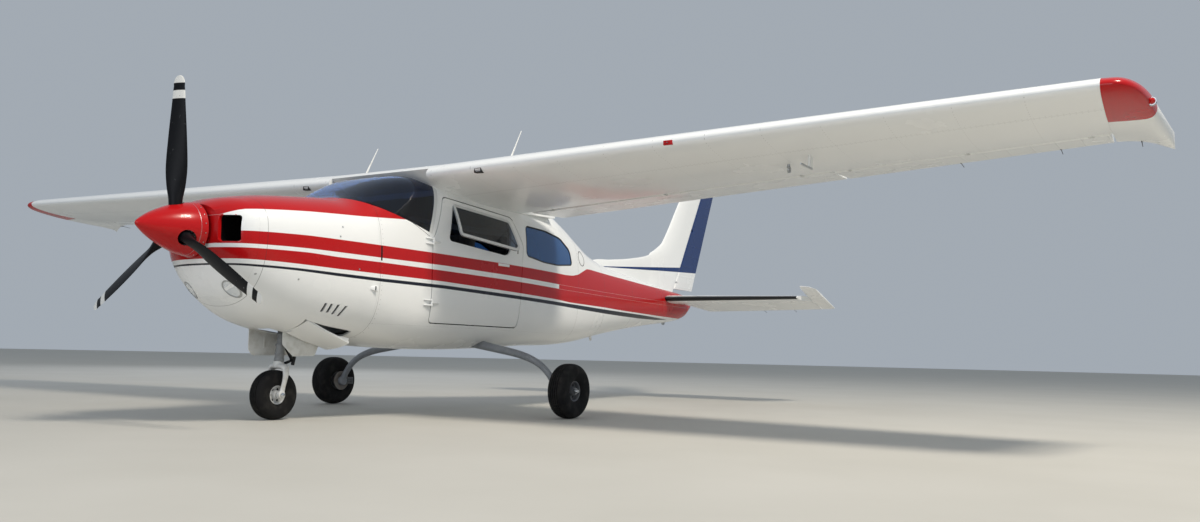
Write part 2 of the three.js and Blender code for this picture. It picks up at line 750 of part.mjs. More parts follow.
function surfaceRing(x, fraction) {
  const { centre, radius, edge } = noseAt(x, fraction);
  const ring = Array.from({ length: NOSE_STEPS + 1 }, (_, k) => {
    const turn = Math.PI / 2 + (Math.PI * k) / NOSE_STEPS;
    return centre.clone().add(
      new THREE.Vector3(0, radius * Math.cos(turn), radius * Math.sin(turn)),
    );
  });
  const trail = at(x, edge.trail, edge.trailZ);
  ring.push(trail.clone().add(new THREE.Vector3(0, 0, -2)));
  ring.push(trail.clone().add(new THREE.Vector3(0, 0, 2)));
  return ring;
}

function controlSurface({ from, to, hinges: shares }, fraction) {
  const [start, end] = [noseAt(from, fraction), noseAt(to, fraction)];
  const form = loft([surfaceRing(from, fraction), surfaceRing(to, fraction)]);
  const radius = Math.max(start.radius, end.radius);
  const set = hinges({
    start: start.centre,
    end: end.centre,
    shares,
    radius,
    reach: radius + CLEAR + 25,
  });
  return { form: form.subtract(set.notches), brackets: set.brackets };
}

const ROOF_SIDE = 540; // where the wings bolt on
const flap = controlSurface(FLAP, FLAP_HINGE);
const aileron = controlSurface(AILERON, AILERON_HINGE);
const stub = { ...WING.root, x: ROOF_SIDE };
const wingForm = loft([
  foilRing(stub, 1, cutBefore(WING.root.x, FLAP_HINGE)),
  foilRing(WING.root, 1, cutBefore(WING.root.x, FLAP_HINGE)),
  foilRing(wingEdge(SPLIT_X - 1), 1, cutBefore(SPLIT_X - 1, FLAP_HINGE)),
  foilRing(wingEdge(SPLIT_X + 1), 1, cutBefore(SPLIT_X + 1, AILERON_HINGE)),
  foilRing(WING.tip, 1, cutBefore(WING.tip.x, AILERON_HINGE)),
]);

// Roof: the skin above the doors and the wing box that the wings bolt to
const centreEdge = (x) => ({ ...WING.root, x });
const wingBox = loft([
  foilRing(centreEdge(-ROOF_SIDE), 1, 0.985),
  foilRing(centreEdge(ROOF_SIDE), 1, 0.985),
]);
const aboveSides = sidePrism(
  [...ROOF_LINE.map(([station, z]) => [station, z + FIT]), [CABIN_END + 10, 2100], [FIREWALL - 10, 2100]],
  [-FAR, FAR],
);
const roofCut = join(
  cabinInside,
  sidePrism(grown(WINDSHIELD, FIT), [-FAR, FAR]),
);
const roof = body(0, FIREWALL + FIT, CABIN_END - FIT)
  .intersect(aboveSides)
  .add(wingBox)
  .subtract(roofCut)
  .intersect(block([-FAR, FAR], [2060, CABIN_END - FIT], [1600, 2200]));
const roofBody = roof.decompose().sort((a, b) => b.volume() - a.volume())[0];
add("cabin_roof", roofBody, "white");

// Wings, flaps, ailerons and tips

const TIEDOWN = { x: 3300, station: 2730, half: 22, thick: 7, low: 1810, depth: 90 };
const tiedown = block(
  [TIEDOWN.x - TIEDOWN.thick, TIEDOWN.x + TIEDOWN.thick],
  [TIEDOWN.station - TIEDOWN.half, TIEDOWN.station + TIEDOWN.half],
  [TIEDOWN.low, TIEDOWN.low + TIEDOWN.depth],
);
const overCabin = block(
  [0, ROOF_SIDE + FIT],
  [WING.root.lead - 90, WING.root.trail + 180],
  [1500, 2200],
);
const wing = wingForm
  .subtract(outside)
  .subtract(overCabin)
  .add(flap.brackets)
  .add(aileron.brackets)
  .add(tiedown);
addPair("wing", wing, "white");
addPair("flap", flap.form, "white");
addPair("aileron", aileron.form, "white");
const tipRings = TIP.map(([x, lead, trail, drop, thick]) => {
  const edge = { x, lead, trail, leadZ: WING.tip.leadZ - drop, trailZ: WING.tip.trailZ - drop };
  return foilRing(edge, thick, 0.999);
});
addPair("wing_tip", loft(tipRings), "red");

// Whip aerials on top of the wing and the air-speed tube under the left one
const WHIP = { x: 830, foot: [2750, 2040], tip: [2940, 2400], radius: 6, tipRadius: 3 };
const WHIP_FOOT = { half: 12, from: 2705, to: 2795, top: 2068 };
const whip = rod(at(WHIP.x, ...WHIP.foot), at(WHIP.x, ...WHIP.tip), WHIP.radius, 8, WHIP.tipRadius)
  .add(block(
    [WHIP.x - WHIP_FOOT.half, WHIP.x + WHIP_FOOT.half],
    [WHIP_FOOT.from, WHIP_FOOT.to],
    [WHIP.foot[1] - 40, WHIP_FOOT.top],
  ))
  .subtract(wingForm.translate([0, 0, FIT]));
addPair("aerial", whip, "black");
const PITOT = { x: 3500, from: 2420, to: 2640, z: 1806, radius: 9, mast: 2570, top: 1920 };
const pitot = rod(at(PITOT.x, PITOT.from, PITOT.z), at(PITOT.x, PITOT.to, PITOT.z), PITOT.radius, 12)
  .add(block(
    [PITOT.x - PITOT.radius * 0.7, PITOT.x + PITOT.radius * 0.7],
    [PITOT.mast, PITOT.to - 6],
    [PITOT.z, PITOT.top],
  ))
  .subtract(wingForm.translate([0, 0, -FIT]));
add("pitot_tube", pitot, "metal");

// Windows

addPair("rear_window", glassBand.intersect(sidePrism(grown(REAR_WINDOW, -FIT), [0, FAR], 45)), "glass");
const BELOW_ROOF = 2; // from the glass up to the wing box
const windshield = glassBand
  .intersect(sidePrism(WINDSHIELD, [-FAR, FAR]))
  .subtract(wingBox.translate([0, 0, -BELOW_ROOF]).add(wingBox))
  .decompose()
  .sort((a, b) => b.volume() - a.volume())[0];
add("windshield", windshield, "glass");

// Doors with their hinges, the left one with its window open at the bottom

const DOOR_BAND = { from: 2100, to: 3500, x: [100, FAR] }; // round the doors in side view
const doorSolid = body(0, DOOR_BAND.from, DOOR_BAND.to)
  .subtract(body(CABIN_WALL, DOOR_BAND.from - 1, DOOR_BAND.to + 1))
  .intersect(sidePrism(DOOR, DOOR_BAND.x, 34))
  .subtract(sidePrism(DOOR_WINDOW, DOOR_BAND.x, 40));
const doorLeaf = doorSolid.add(join(...hingeLeaves));
addPair("door", doorLeaf, "white");
const pane = glassBand.intersect(sidePrism(grown(DOOR_WINDOW, -FIT), DOOR_BAND.x, 40));
add("door_window_right", mirrored(pane), "glass");
const paneTop = [at(547, 2408, 1721.6), at(554, 3160, 1675.6)]; // the line that it hangs from
const paneAxis = new THREE.Vector3().subVectors(paneTop[1], paneTop[0]).normalize();
add("door_window_left", turned(pane, paneTop[0], paneAxis, -VENT_OPEN), "glass");

// Instrument panel and seats

// Panel and its cover in side view: station, height
const PANEL = [
  [1700, 1500], [1850, 1500], [1880, 1180], [1850, 1170], [1780, 1440], [1700, 1460],
];
add("instrument_panel", insideWalls.intersect(sidePrism(PANEL, [-FAR, FAR])), "black");
// Seats: name, x, front edge, half width, depth, height of the cushion, height of the back
const SEATS = [
  ["seat_front_left", 245, 2330, 195, 480, 1040, 1560],
  ["seat_front_right", -245, 2330, 195, 480, 1040, 1560],
  ["seat_middle_left", 240, 3080, 190, 440, 1000, 1500],
  ["seat_middle_right", -240, 3080, 190, 440, 1000, 1500],
  ["seat_rear", 0, 3700, 380, 400, 960, 1400],
];
const CUSHION = 110;
const BACK = 100;
SEATS.forEach(([name, x, front, half, depth, cushion, back]) => {
  const rear = front + depth;
  const outline = [
    [front, cushion], [front, cushion - CUSHION], [front + 60, cushion - CUSHION],
    [front + 90, FLOOR_TOP + FIT], [rear - 20, FLOOR_TOP + FIT], [rear + 20, cushion - CUSHION],
    [rear + 110, back - 20], [rear + 90, back], [rear + 20, back - 10], [rear - BACK, cushion + 10],
  ];
  add(name, sidePrism(outline, [x - half, x + half], 18, 2), "cloth");
});

// Tail cone, its end cap, fin, rudder, stabiliser and elevator

const { hinge: TAIL_HINGE, z: TAIL_Z, tip: TAIL_TIP } = STABILISER;
const tubeHole = rod(at(-300, TAIL_HINGE, TAIL_Z), at(300, TAIL_HINGE, TAIL_Z), ELEVATOR_TUBE + CLEAR, 12);
const tailCone = body(0, CABIN_END, TAIL_END - FIT)
  .subtract(body(TAIL_WALL, CABIN_END - 1, TAIL_END + 1))
  .subtract(tubeHole);
const TAIL_TIEDOWN = { from: 7060, to: 7140, thick: 7, low: 905 };
const tailRing = block(
  [-TAIL_TIEDOWN.thick, TAIL_TIEDOWN.thick],
  [TAIL_TIEDOWN.from, TAIL_TIEDOWN.to],
  [TAIL_TIEDOWN.low, 948],
);
add("tail_cone", tailCone.add(tailRing), "white");
add("tail_cap", body(0, TAIL_END, BODY.at(-1)[0]), "red");

// Stabiliser: x, leading edge, thickness
const STAB = [
  [60, 6835, 96],
  [700, 6862, 84],
  [TAIL_TIP, 6910, 58],
];
// Elevator: x, trailing edge
const ELEVATOR = [
  [115, 7560],
  [300, 7845],
  [1000, 7815],
  [TAIL_TIP, 7770],
];
// Horn balance outboard of the stabiliser: x, leading edge, trailing edge, thickness
const HORN = [
  [TAIL_TIP + CLEAR, 6925, 7768, 56],
  [1930, 6960, 7760, 44],
  [1980, 7030, 7735, 20],
];
const ELEVATOR_NOSE = { root: 34, tip: 24 };
const stabGap = ELEVATOR_NOSE.root + 10 + CLEAR;
const stabRing = ([x, lead, thick]) => [
  at(x, TAIL_HINGE - stabGap, TAIL_Z + thick / 2 - 6),
  at(x, lead + 230, TAIL_Z + thick / 2),
  at(x, lead + 60, TAIL_Z + thick / 3),
  at(x, lead + 10, TAIL_Z + thick / 8),
  at(x, lead, TAIL_Z),
  at(x, lead + 10, TAIL_Z - thick / 8),
  at(x, lead + 60, TAIL_Z - thick / 3),
  at(x, lead + 230, TAIL_Z - thick / 2),
  at(x, TAIL_HINGE - stabGap, TAIL_Z - thick / 2 + 6),
];
const elevatorRing = ([x, trail]) => {
  const radius = THREE.MathUtils.lerp(ELEVATOR_NOSE.root, ELEVATOR_NOSE.tip, x / TAIL_TIP);
  const ring = Array.from({ length: NOSE_STEPS + 1 }, (_, k) => {
    const turn = Math.PI / 2 + (Math.PI * k) / NOSE_STEPS;
    return at(x, TAIL_HINGE + radius * Math.cos(turn), TAIL_Z + radius * Math.sin(turn));
  });
  ring.push(at(x, trail, TAIL_Z - 2), at(x, trail, TAIL_Z + 2));
  return ring;
};
const tailHinges = hinges({
  start: at(140, TAIL_HINGE, TAIL_Z),
  end: at(1800, TAIL_HINGE, TAIL_Z),
  shares: [0.25, 0.85],
  radius: 32,
  reach: stabGap + 30,
});
const hornNose = loft(HORN.map(([x, lead, , thick]) => stabRing([x, lead, thick])));
const hornTail = loft(HORN.map(([x, , trail, thick]) => [
  at(x, TAIL_HINGE - stabGap - 20, TAIL_Z + thick * 0.4),
  at(x, TAIL_HINGE - stabGap - 20, TAIL_Z - thick * 0.4),
  at(x, trail, TAIL_Z - 2),
  at(x, trail, TAIL_Z + 2),
]));
const hornRoot = block(
  [TAIL_TIP - 18, TAIL_TIP + 22],
  [TAIL_HINGE - 10, TAIL_HINGE + 60],
  [TAIL_Z - 18, TAIL_Z + 18],
);
const elevatorHalf = join(
  loft(ELEVATOR.map(elevatorRing)).subtract(tailHinges.notches),
  hornNose,
  hornTail,
  hornRoot,
);
const torqueTube = rod(
  at(-ELEVATOR[0][0] - 15, TAIL_HINGE, TAIL_Z),
  at(ELEVATOR[0][0] + 15, TAIL_HINGE, TAIL_Z),
  ELEVATOR_TUBE,
  16,
);
addPair("stabiliser", loft(STAB.map(stabRing)).subtract(outside).add(tailHinges.brackets), "white");
const elevator = join(elevatorHalf, mirrored(elevatorHalf), torqueTube);
add("elevator", turned(elevator, at(0, TAIL_HINGE, TAIL_Z), ACROSS, -DROOP), "white");

// Fin with its dorsal fillet, and the rudder on a hinge line that leans aft

// Fin sections: height, leading edge, half thickness
const FIN = [
  [FIN_ROOT, 6560, 46],
  [1745, 6700, 44],
  [1830, 6870, 42],
  [1930, 7035, 40],
  [2440, 7430, 33],
  [HEIGHT - 30, 7800, 24],
  [HEIGHT, 7838, 18],
];
const RUDDER = {
  foot: 1372,
  top: HEIGHT,
  lean: 0.6, // aft for each millimetre up
  footStation: 7338,
  footTrail: 7868,
  topTrail: LENGTH,
};
const rudderHinge = (z) => RUDDER.footStation + (z - RUDDER.foot) * RUDDER.lean;
const rudderNose = (z) => 34 - ((z - RUDDER.foot) / (RUDDER.top - RUDDER.foot)) * 14;
const finRing = ([z, lead, half]) => {
  const rear = rudderHinge(z) - rudderNose(z) - CLEAR - 8;
  return [
    at(half - 6, rear, z), at(half, (lead + rear) / 2, z), at(half * 0.7, lead + 70, z),
    at(half * 0.25, lead + 12, z), at(0, lead, z), at(-half * 0.25, lead + 12, z),
    at(-half * 0.7, lead + 70, z), at(-half, (lead + rear) / 2, z), at(-half + 6, rear, z),
  ];
};
const finForm = loft(FIN.map(finRing));
// Fillet ahead of the fin in side view: station, height
const DORSAL = [
  [5250, 1440], [5400, 1552], [5800, 1600], [6250, 1655], [6700, 1742], [6960, 1850],
  [7100, 1850], [7100, 1300],
];
const dorsal = sidePrism(DORSAL, [-13, 13]);
const rudderRing = (z) => {
  const [centre, radius] = [rudderHinge(z), rudderNose(z)];
  const share = (z - RUDDER.foot) / (RUDDER.top - RUDDER.foot);
  const trail = RUDDER.footTrail + share * (RUDDER.topTrail - RUDDER.footTrail);
  const ring = Array.from({ length: NOSE_STEPS + 1 }, (_, k) => {
    const turn = Math.PI / 2 + (Math.PI * k) / NOSE_STEPS;
    return at(radius * Math.sin(turn), centre + radius * Math.cos(turn), z);
  });
  ring.push(at(-3, trail, z), at(3, trail, z));
  return ring;
};
const rudderHinges = hinges({
  start: at(0, rudderHinge(RUDDER.foot), RUDDER.foot),
  end: at(0, rudderHinge(RUDDER.top), RUDDER.top),
  shares: [0.05, 0.5, 0.93],
  radius: 34,
  reach: 34 + CLEAR + 40,
});
const rudder = loft([rudderRing(RUDDER.foot), rudderRing(RUDDER.top)])
  .subtract(rudderHinges.notches);
add("fin", join(finForm, dorsal, rudderHinges.brackets).subtract(outside), "white");
add("rudder", rudder, "navy");

// Nose gear: the leg, its fork that steers, and the wheel

const STRUT = { radius: 33, piston: 25, low: 425, top: 770 };
const strut = rod(steerAt(STRUT.low), steerAt(STRUT.top), STRUT.radius, 20)
  .add(rod(trunnion.clone().setX(-ARM.far - 12), trunnion.clone().setX(ARM.far + 12), 12, 20))
  .subtract(rod(steerAt(STRUT.low - 10), steerAt(STRUT.low + 120), STRUT.piston + FIT, 20));
add("nose_strut", strut, "metal");
const nose = NOSE_WHEEL;
const crown = { low: nose.radius * 2 + 16, top: nose.radius * 2 + 40 };
const armX = nose.width / 2 + 14;
const forkArms = [1, -1].map((side) =>
  taperedTube(
    [
      at(side * armX, STRUT_FOOT + 18, crown.top - 12),
      at(side * (armX + 2), STRUT_FOOT + 22, crown.low - 60),
      at(side * (armX + 2), nose.station, nose.radius),
    ],
    [17, 15, 22],
    10,
  ));
const forkCrown = block(
  [-armX - 16, armX + 16],
  [STRUT_FOOT - 14, STRUT_FOOT + 52],
  [crown.low, crown.top],
);
const noseAxle = rod(
  at(-armX - 26, nose.station, nose.radius),
  at(armX + 26, nose.station, nose.radius),
  AXLE,
  20,
);
const torqueLink = rod(
  at(0, STRUT_FOOT + 40, crown.top - 4),
  at(0, STRUT_FOOT + 128, crown.top + 32),
  9,
  8,
);
add(
  "nose_fork",
  join(
    rod(steerAt(crown.low + 4), steerAt(STRUT.low + 110), STRUT.piston, 20),
    forkCrown,
    ...forkArms,
    noseAxle,
    torqueLink,
  ),
  "metal",
);

function tyre({ radius, width, bead }, centre) {
  const half = width / 2;
  const tread = radius / Math.cos(Math.PI / WHEEL_SIDES); // its flats lie at the tyre's radius
  const profile = [
    [bead + 1, -half * 0.62], [(radius + bead) / 2 + 8, -half], [radius * 0.91, -half * 0.8],
    [tread, -half * 0.3], [tread, half * 0.3], [radius * 0.91, half * 0.8],
    [(radius + bead) / 2 + 8, half], [bead + 1, half * 0.62],
  ];
  return turnedAlongX(profile, centre, WHEEL_SIDES);
}

function rim({ width, bead }, centre) {
  const half = width / 2;
  const edge = bead + 1 - FIT;
  const profile = [
    [AXLE + FIT, -half * 0.7], [36, -half * 0.7], [36, -half * 0.3], [edge - 12, -half * 0.3],
    [edge - 12, -half * 0.6], [edge, -half * 0.6], [edge, half * 0.6], [edge - 12, half * 0.6],
    [edge - 12, half * 0.3], [36, half * 0.3], [36, half * 0.7], [AXLE + FIT, half * 0.7],
  ];
  return turnedAlongX(profile, centre, WHEEL_SIDES);
}

const noseCentre = at(0, nose.station, nose.radius);
add("nose_tyre", tyre(nose, noseCentre), "rubber");
add("nose_rim", rim(nose, noseCentre), "white");

// Nose gear doors, hanging open at the sides of the well
const DOOR_PLATE = { x: WELL.half + 6, thick: 6, low: 500 };
const NOSE_DOOR = [
  [1000, 700], [1440, 700], [1440, 560], [1380, DOOR_PLATE.low], [1060, DOOR_PLATE.low],
  [1000, 560],
];
const noseDoor = sidePrism(
  NOSE_DOOR,
  [DOOR_PLATE.x, DOOR_PLATE.x + DOOR_PLATE.thick],
  12,
  2,
).subtract(outside);
addPair("nose_door", noseDoor, "white");

// Main gear: a tapered tube from the belly to the axle on each side
const main = MAIN_WHEEL;
const legPath = LEG.map(([x, z]) => at(x, main.station, z));
const alongAxle = (from, to, radius) =>
  rod(at(from, main.station, main.radius), at(to, main.station, main.radius), radius, 20);
const HUB = { from: 1205, to: 1250, radius: 42 };
const STUB_AXLE = { from: 1240, to: 1438 };
// Brake caliper on the inner side of the wheel
const BRAKE = { x: [1206, 1236], ahead: 30, behind: 118, half: 26 };
const leg = taperedTube(legPath, LEG.map((row) => row[2]), 12)
  .add(alongAxle(HUB.from, HUB.to, HUB.radius))
  .add(alongAxle(STUB_AXLE.from, STUB_AXLE.to, AXLE))
  .add(block(
    BRAKE.x,
    [main.station + BRAKE.ahead, main.station + BRAKE.behind],
    [main.radius - BRAKE.half, main.radius + BRAKE.half],
  ))
  .subtract(outside);
addPair("main_leg", leg, "metal");
const mainCentre = at(main.x, main.station, main.radius);
addPair("main_tyre", tyre(main, mainCentre), "rubber");
addPair("main_rim", rim(main, mainCentre), "white");

export default model;
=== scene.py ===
import math

import bpy
from mathutils import Matrix, Vector


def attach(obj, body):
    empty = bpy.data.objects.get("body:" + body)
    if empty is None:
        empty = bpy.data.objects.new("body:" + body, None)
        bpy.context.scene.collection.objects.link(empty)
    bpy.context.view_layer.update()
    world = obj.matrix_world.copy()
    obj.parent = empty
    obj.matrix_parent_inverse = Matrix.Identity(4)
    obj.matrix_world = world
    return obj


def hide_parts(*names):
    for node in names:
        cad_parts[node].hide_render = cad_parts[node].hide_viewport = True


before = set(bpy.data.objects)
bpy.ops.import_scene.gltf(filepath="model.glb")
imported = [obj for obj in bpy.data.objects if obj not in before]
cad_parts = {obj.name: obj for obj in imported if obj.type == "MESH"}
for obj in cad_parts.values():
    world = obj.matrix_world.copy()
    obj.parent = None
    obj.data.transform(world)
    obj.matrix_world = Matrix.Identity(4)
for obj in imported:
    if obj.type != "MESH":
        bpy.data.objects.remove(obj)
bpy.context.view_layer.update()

# A light aircraft on its wheels. Metres; +X is its left, the nose points to -Y, Z = 0 is the
# ground. A station is a distance aft of the spinner's tip.
HALF_LENGTH = 4.2925


def at(x, station, z):
    return Vector((x, station - HALF_LENGTH, z))


# Camera. The photographer stood ahead of the left wing and held the camera half a metre above
# the ground, tipped up by three degrees, with a lens of about 30 mm on full-frame film.
YAW, PITCH, ROLL = 0.5550, 0.0522, 0.0224
ahead = Vector((-math.sin(YAW), math.cos(YAW), 0))
right = Vector((math.cos(YAW), math.sin(YAW), 0))
overhead = Vector((0, 0, 1))
view = ahead * math.cos(PITCH) + overhead * math.sin(PITCH)
tipped = overhead * math.cos(PITCH) - ahead * math.sin(PITCH)
rolled_right = right * math.cos(ROLL) + tipped * math.sin(ROLL)
rolled_up = tipped * math.cos(ROLL) - right * math.sin(ROLL)
bpy.ops.object.select_all(action="DESELECT")
bpy.ops.object.camera_add(location=(5.772, -7.998, 0.526))
camera = bpy.context.object
camera.data.sensor_width = 36.0
camera.data.lens = 29.52
camera.data.shift_y = 0.0348
camera.data.clip_end = 200.0
camera.rotation_mode = "QUATERNION"
camera.rotation_quaternion = Matrix((rolled_right, rolled_up, -view)).transposed().to_quaternion()
bpy.context.scene.camera = camera


# Stage. A pale, evenly painted floor under a pale sky, with one large soft light high on the
# left as the sun stands in the photograph, one by the nose and a weak one from the far side.
def linear(code, alpha=1.0):
    """An sRGB hex colour as the linear values that a shader takes."""
    parts = [int(code[i:i + 2], 16) / 255 for i in (1, 3, 5)]
    return [c / 12.92 if c <= 0.04045 else ((c + 0.055) / 1.055) ** 2.4 for c in parts] + [alpha]


def new_material(name, color, roughness, metallic=0.0, **values):
    """A material whose shader starts from one colour, roughness and metallic value."""
    material = bpy.data.materials.new(name)
    material.use_nodes = True
    shader = material.node_tree.nodes["Principled BSDF"]
    shader.inputs["Base Color"].default_value = linear(color)
    shader.inputs["Roughness"].default_value = roughness
    shader.inputs["Metallic"].default_value = metallic
    for name, value in values.items():
        shader.inputs[name.replace("_", " ")].default_value = value
    return material


def node(material, kind, *values, **named):
    """Adds a node such as "Math ADD", its operation after a space, and gives its outputs.

    A value, by place or name, is a number, a colour or another node's output. A name with a
    capital is an input's, and any other is a setting's.
    """
    kind, _, choice = kind.partition(" ")
    made = material.node_tree.nodes.new("ShaderNode" + kind)
    if choice:
        named["data_type" if kind == "Mix" else "operation"] = choice
    for name in [name for name in named if name[0].islower()]:
        setattr(made, name, named.pop(name))
    inputs = dict(enumerate(values)) | {name.replace("_", " "): named[name] for name in named}
    for socket, value in inputs.items():
        if isinstance(value, bpy.types.NodeSocket):
            material.node_tree.links.new(value, made.inputs[socket])
        else:
            made.inputs[socket].default_value = value
    return made.outputs


def feed(material, output, socket):
    """Links an output to a socket of the material's shader."""
    shader = material.node_tree.nodes["Principled BSDF"]
    material.node_tree.links.new(output, shader.inputs[socket])


def mottled(material, dark, light, pattern="TexNoise", output="Fac", **settings):
    """Lets the colour drift between two shades by a pattern, whose height it gives back."""
    place = node(material, "TexCoord")["Object"]
    height = node(material, pattern, Vector=place, **settings)[output]
    shade = node(material, "Mix RGBA", Factor=height, A=linear(dark), B=linear(light))["Result"]
    feed(material, shade, "Base Color")
    return height


floor_paint = new_material("painted_floor", "#bdbbb4", 0.8)
mottled(floor_paint, "#b5b3ab", "#c3c1ba", Scale=0.9, Detail=5.0)
bpy.ops.object.select_all(action="DESELECT")
bpy.ops.mesh.primitive_circle_add(vertices=96, radius=70, fill_type="NGON", location=(0, 0, -0.001))
floor = bpy.context.object
floor.name = "floor"
floor.data.materials.append(floor_paint)

sky = bpy.data.worlds.new("pale_studio")
sky.use_nodes = True
sky.node_tree.nodes["Background"].inputs["Color"].default_value = linear("#d3dde8")
sky.node_tree.nodes["Background"].inputs["Strength"].default_value = 0.56
bpy.context.scene.world = sky
bpy.context.scene.view_settings.view_transform = "Standard"
# name, place, size in metres, watts, colour; each is aimed at the middle of the cabin
for name, place, size, watts, color in (
    ("key_from_left", (9.0, -3.0, 13.0), 3.0, 1850, "#fff6e8"),
    ("fill_from_nose", (3.0, -16.0, 5.0), 6.0, 380, "#f4f7ff"),
    ("rim_from_right", (-12.0, 7.0, 9.0), 6.0, 450, "#eef3ff"),
):
    bpy.ops.object.light_add(type="AREA", location=place)
    lamp = bpy.context.object
    lamp.name = name
    lamp.data.size = size
    lamp.data.energy = watts
    lamp.data.color = linear(color)[:3]
    aim = Vector((0, 0, 1.2)) - Vector(place)
    lamp.rotation_euler = aim.to_track_quat("-Z", "Y").to_euler()
    # the light from behind would lie on the windshield as one white patch
    lamp.visible_glossy = name != "rim_from_right"


# Enamel on aluminium. Glossy sprayed enamel with a clear coat, faintly uneven as sprayed paint
# is, a little dusty, with the stripes of this aircraft masked on at the heights below.
RED, WHITE = "#b70009", "#f2f4f4"
LENGTH, TOP = 8.6, 3.0  # what one unit of a curve node stands for
# Edges of the stripes along the body, each a list of stations and heights
TOP_BAND_LOW = (
    (0.43, 1.385), (0.452, 1.392), (0.469, 1.406), (0.498, 1.42), (0.534, 1.43), (0.608, 1.438),
    (0.786, 1.453), (0.997, 1.47), (1.301, 1.488), (1.64, 1.507), (1.9, 1.524),
)
UPPER_TOP = (
    (0.43, 1.28), (0.587, 1.286), (0.957, 1.295), (1.61, 1.296), (2.306, 1.296), (3.1, 1.292),
    (3.97, 1.283), (4.16, 1.281), (4.323, 1.288), (4.449, 1.309), (4.562, 1.348), (4.678, 1.385),
    (4.787, 1.387), (4.99, 1.383), (5.7, 1.368), (6.225, 1.351), (6.8, 1.336), (7.8, 1.31),
)
UPPER_LOW = (
    (0.43, 1.199), (0.673, 1.202), (0.96, 1.206), (1.615, 1.203), (2.31, 1.206), (3.1, 1.196),
    (4.1, 1.178), (8.0, 1.178),
)
LOWER_TOP = (
    (0.43, 1.173), (0.96, 1.178), (1.2, 1.17), (1.616, 1.169), (2.312, 1.164), (3.1, 1.155),
    (4.1, 1.136), (8.0, 1.136),
)
LOWER_LOW = (
    (0.43, 1.101), (0.6, 1.1), (0.87, 1.094), (1.2, 1.086), (1.62, 1.082), (2.316, 1.077),
    (3.98, 1.034), (4.254, 1.022), (4.631, 1.02), (5.128, 1.018), (5.613, 1.009), (6.131, 1.004),
    (6.69, 0.998), (8.0, 0.992),
)
LINE_TOP = (
    (0.43, 1.072), (0.618, 1.069), (0.872, 1.065), (1.208, 1.057), (1.62, 1.05), (2.317, 1.048),
    (3.98, 1.012), (4.633, 1.004), (5.132, 0.997), (5.62, 0.992), (6.143, 0.987), (6.601, 0.978),
    (7.02, 0.966),
)
LINE_LOW = (
    (0.43, 1.061), (0.622, 1.054), (0.875, 1.048), (1.21, 1.035), (1.62, 1.026), (2.319, 1.021),
    (3.98, 0.979), (4.26, 0.973), (4.64, 0.964), (5.147, 0.954), (5.647, 0.948), (6.187, 0.945),
    (6.65, 0.95), (7.02, 0.966),
)
PIN_END = 4.02  # where the white line between the red stripes stops
BAND_END, LINE_END = 1.9, 7.02  # where the red band over the cowl and the navy line stop
BODY_RIVET_PITCH = 0.035
INLET_SIDE = 0.45  # the nose is all red ahead of this station
GAP_AFT, GAP_HIGH = (1.605, 1.62), (1.182, 1.292)
EDGE = 0.0015  # half the width over which one colour turns into the next


def enamel(name, roughness=0.24, color=None):
    """Sprayed enamel under a clear coat: one weathered colour, or one that is linked later."""
    material = new_material(
        name, WHITE, roughness, Coat_Weight=0.18, Coat_Roughness=0.05, Specular_IOR_Level=0.24,
    )
    place = node(material, "TexCoord")["Object"]
    # orange peel of about 3 mm, drawn at 25 mm so that it shows
    peel = node(material, "TexNoise", Vector=place, Scale=40.0, Detail=2.0)["Fac"]
    bump = node(material, "Bump", Height=peel, Strength=0.04, Distance=0.002)["Normal"]
    feed(material, bump, "Normal")
    dust = node(material, "TexNoise", Vector=place, Scale=1.7, Detail=6.0)["Fac"]
    gloss = node(
        material, "MapRange", Value=dust, From_Min=0.35, From_Max=0.75, To_Min=roughness - 0.03,
        To_Max=roughness + 0.06,
    )["Result"]
    feed(material, gloss, "Roughness")
    if color:
        feed(material, weathered(material, linear(color)), "Base Color")
    return material


def axes(material):
    """X, station and height of a point of the piece."""
    place = node(material, "TexCoord")["Object"]
    parts = node(material, "SeparateXYZ", Vector=place)
    aft = node(material, "Math ADD", parts["Y"], HALF_LENGTH)[0]
    return parts["X"], aft, parts["Z"]


def over(material, value, limit):
    """1 where a value lies over a limit and 0 under it, with a thin soft edge."""
    past = node(material, "Math SUBTRACT", value, limit)[0]
    return node(material, "MapRange", Value=past, From_Min=-EDGE, From_Max=EDGE)["Result"]


def all_of(material, first, *others):
    """1 where each of these is 1."""
    for other in others:
        first = node(material, "Math MULTIPLY", first, other)[0]
    return first


def edge_height(material, aft, edge):
    """The height of a stripe's edge at each station."""
    share = node(material, "Math DIVIDE", aft, LENGTH)[0]
    height = node(material, "FloatCurve", Value=share)["Value"]
    mapping = height.node.mapping
    line = mapping.curves[0]
    spots = [(0.0, edge[0][1])] + list(edge) + [(LENGTH, edge[-1][1])]
    while len(line.points) < len(spots):
        line.points.new(0.5, 0.5)
    for point, (station, z) in zip(line.points, spots):
        point.location = (station / LENGTH, z / TOP)
        point.handle_type = "VECTOR"
    mapping.update()
    return node(material, "Math MULTIPLY", height, TOP)[0]


def between(material, aft, z, low, high):
    above = over(material, z, edge_height(material, aft, low))
    under = over(material, edge_height(material, aft, high), z)
    return all_of(material, above, under)


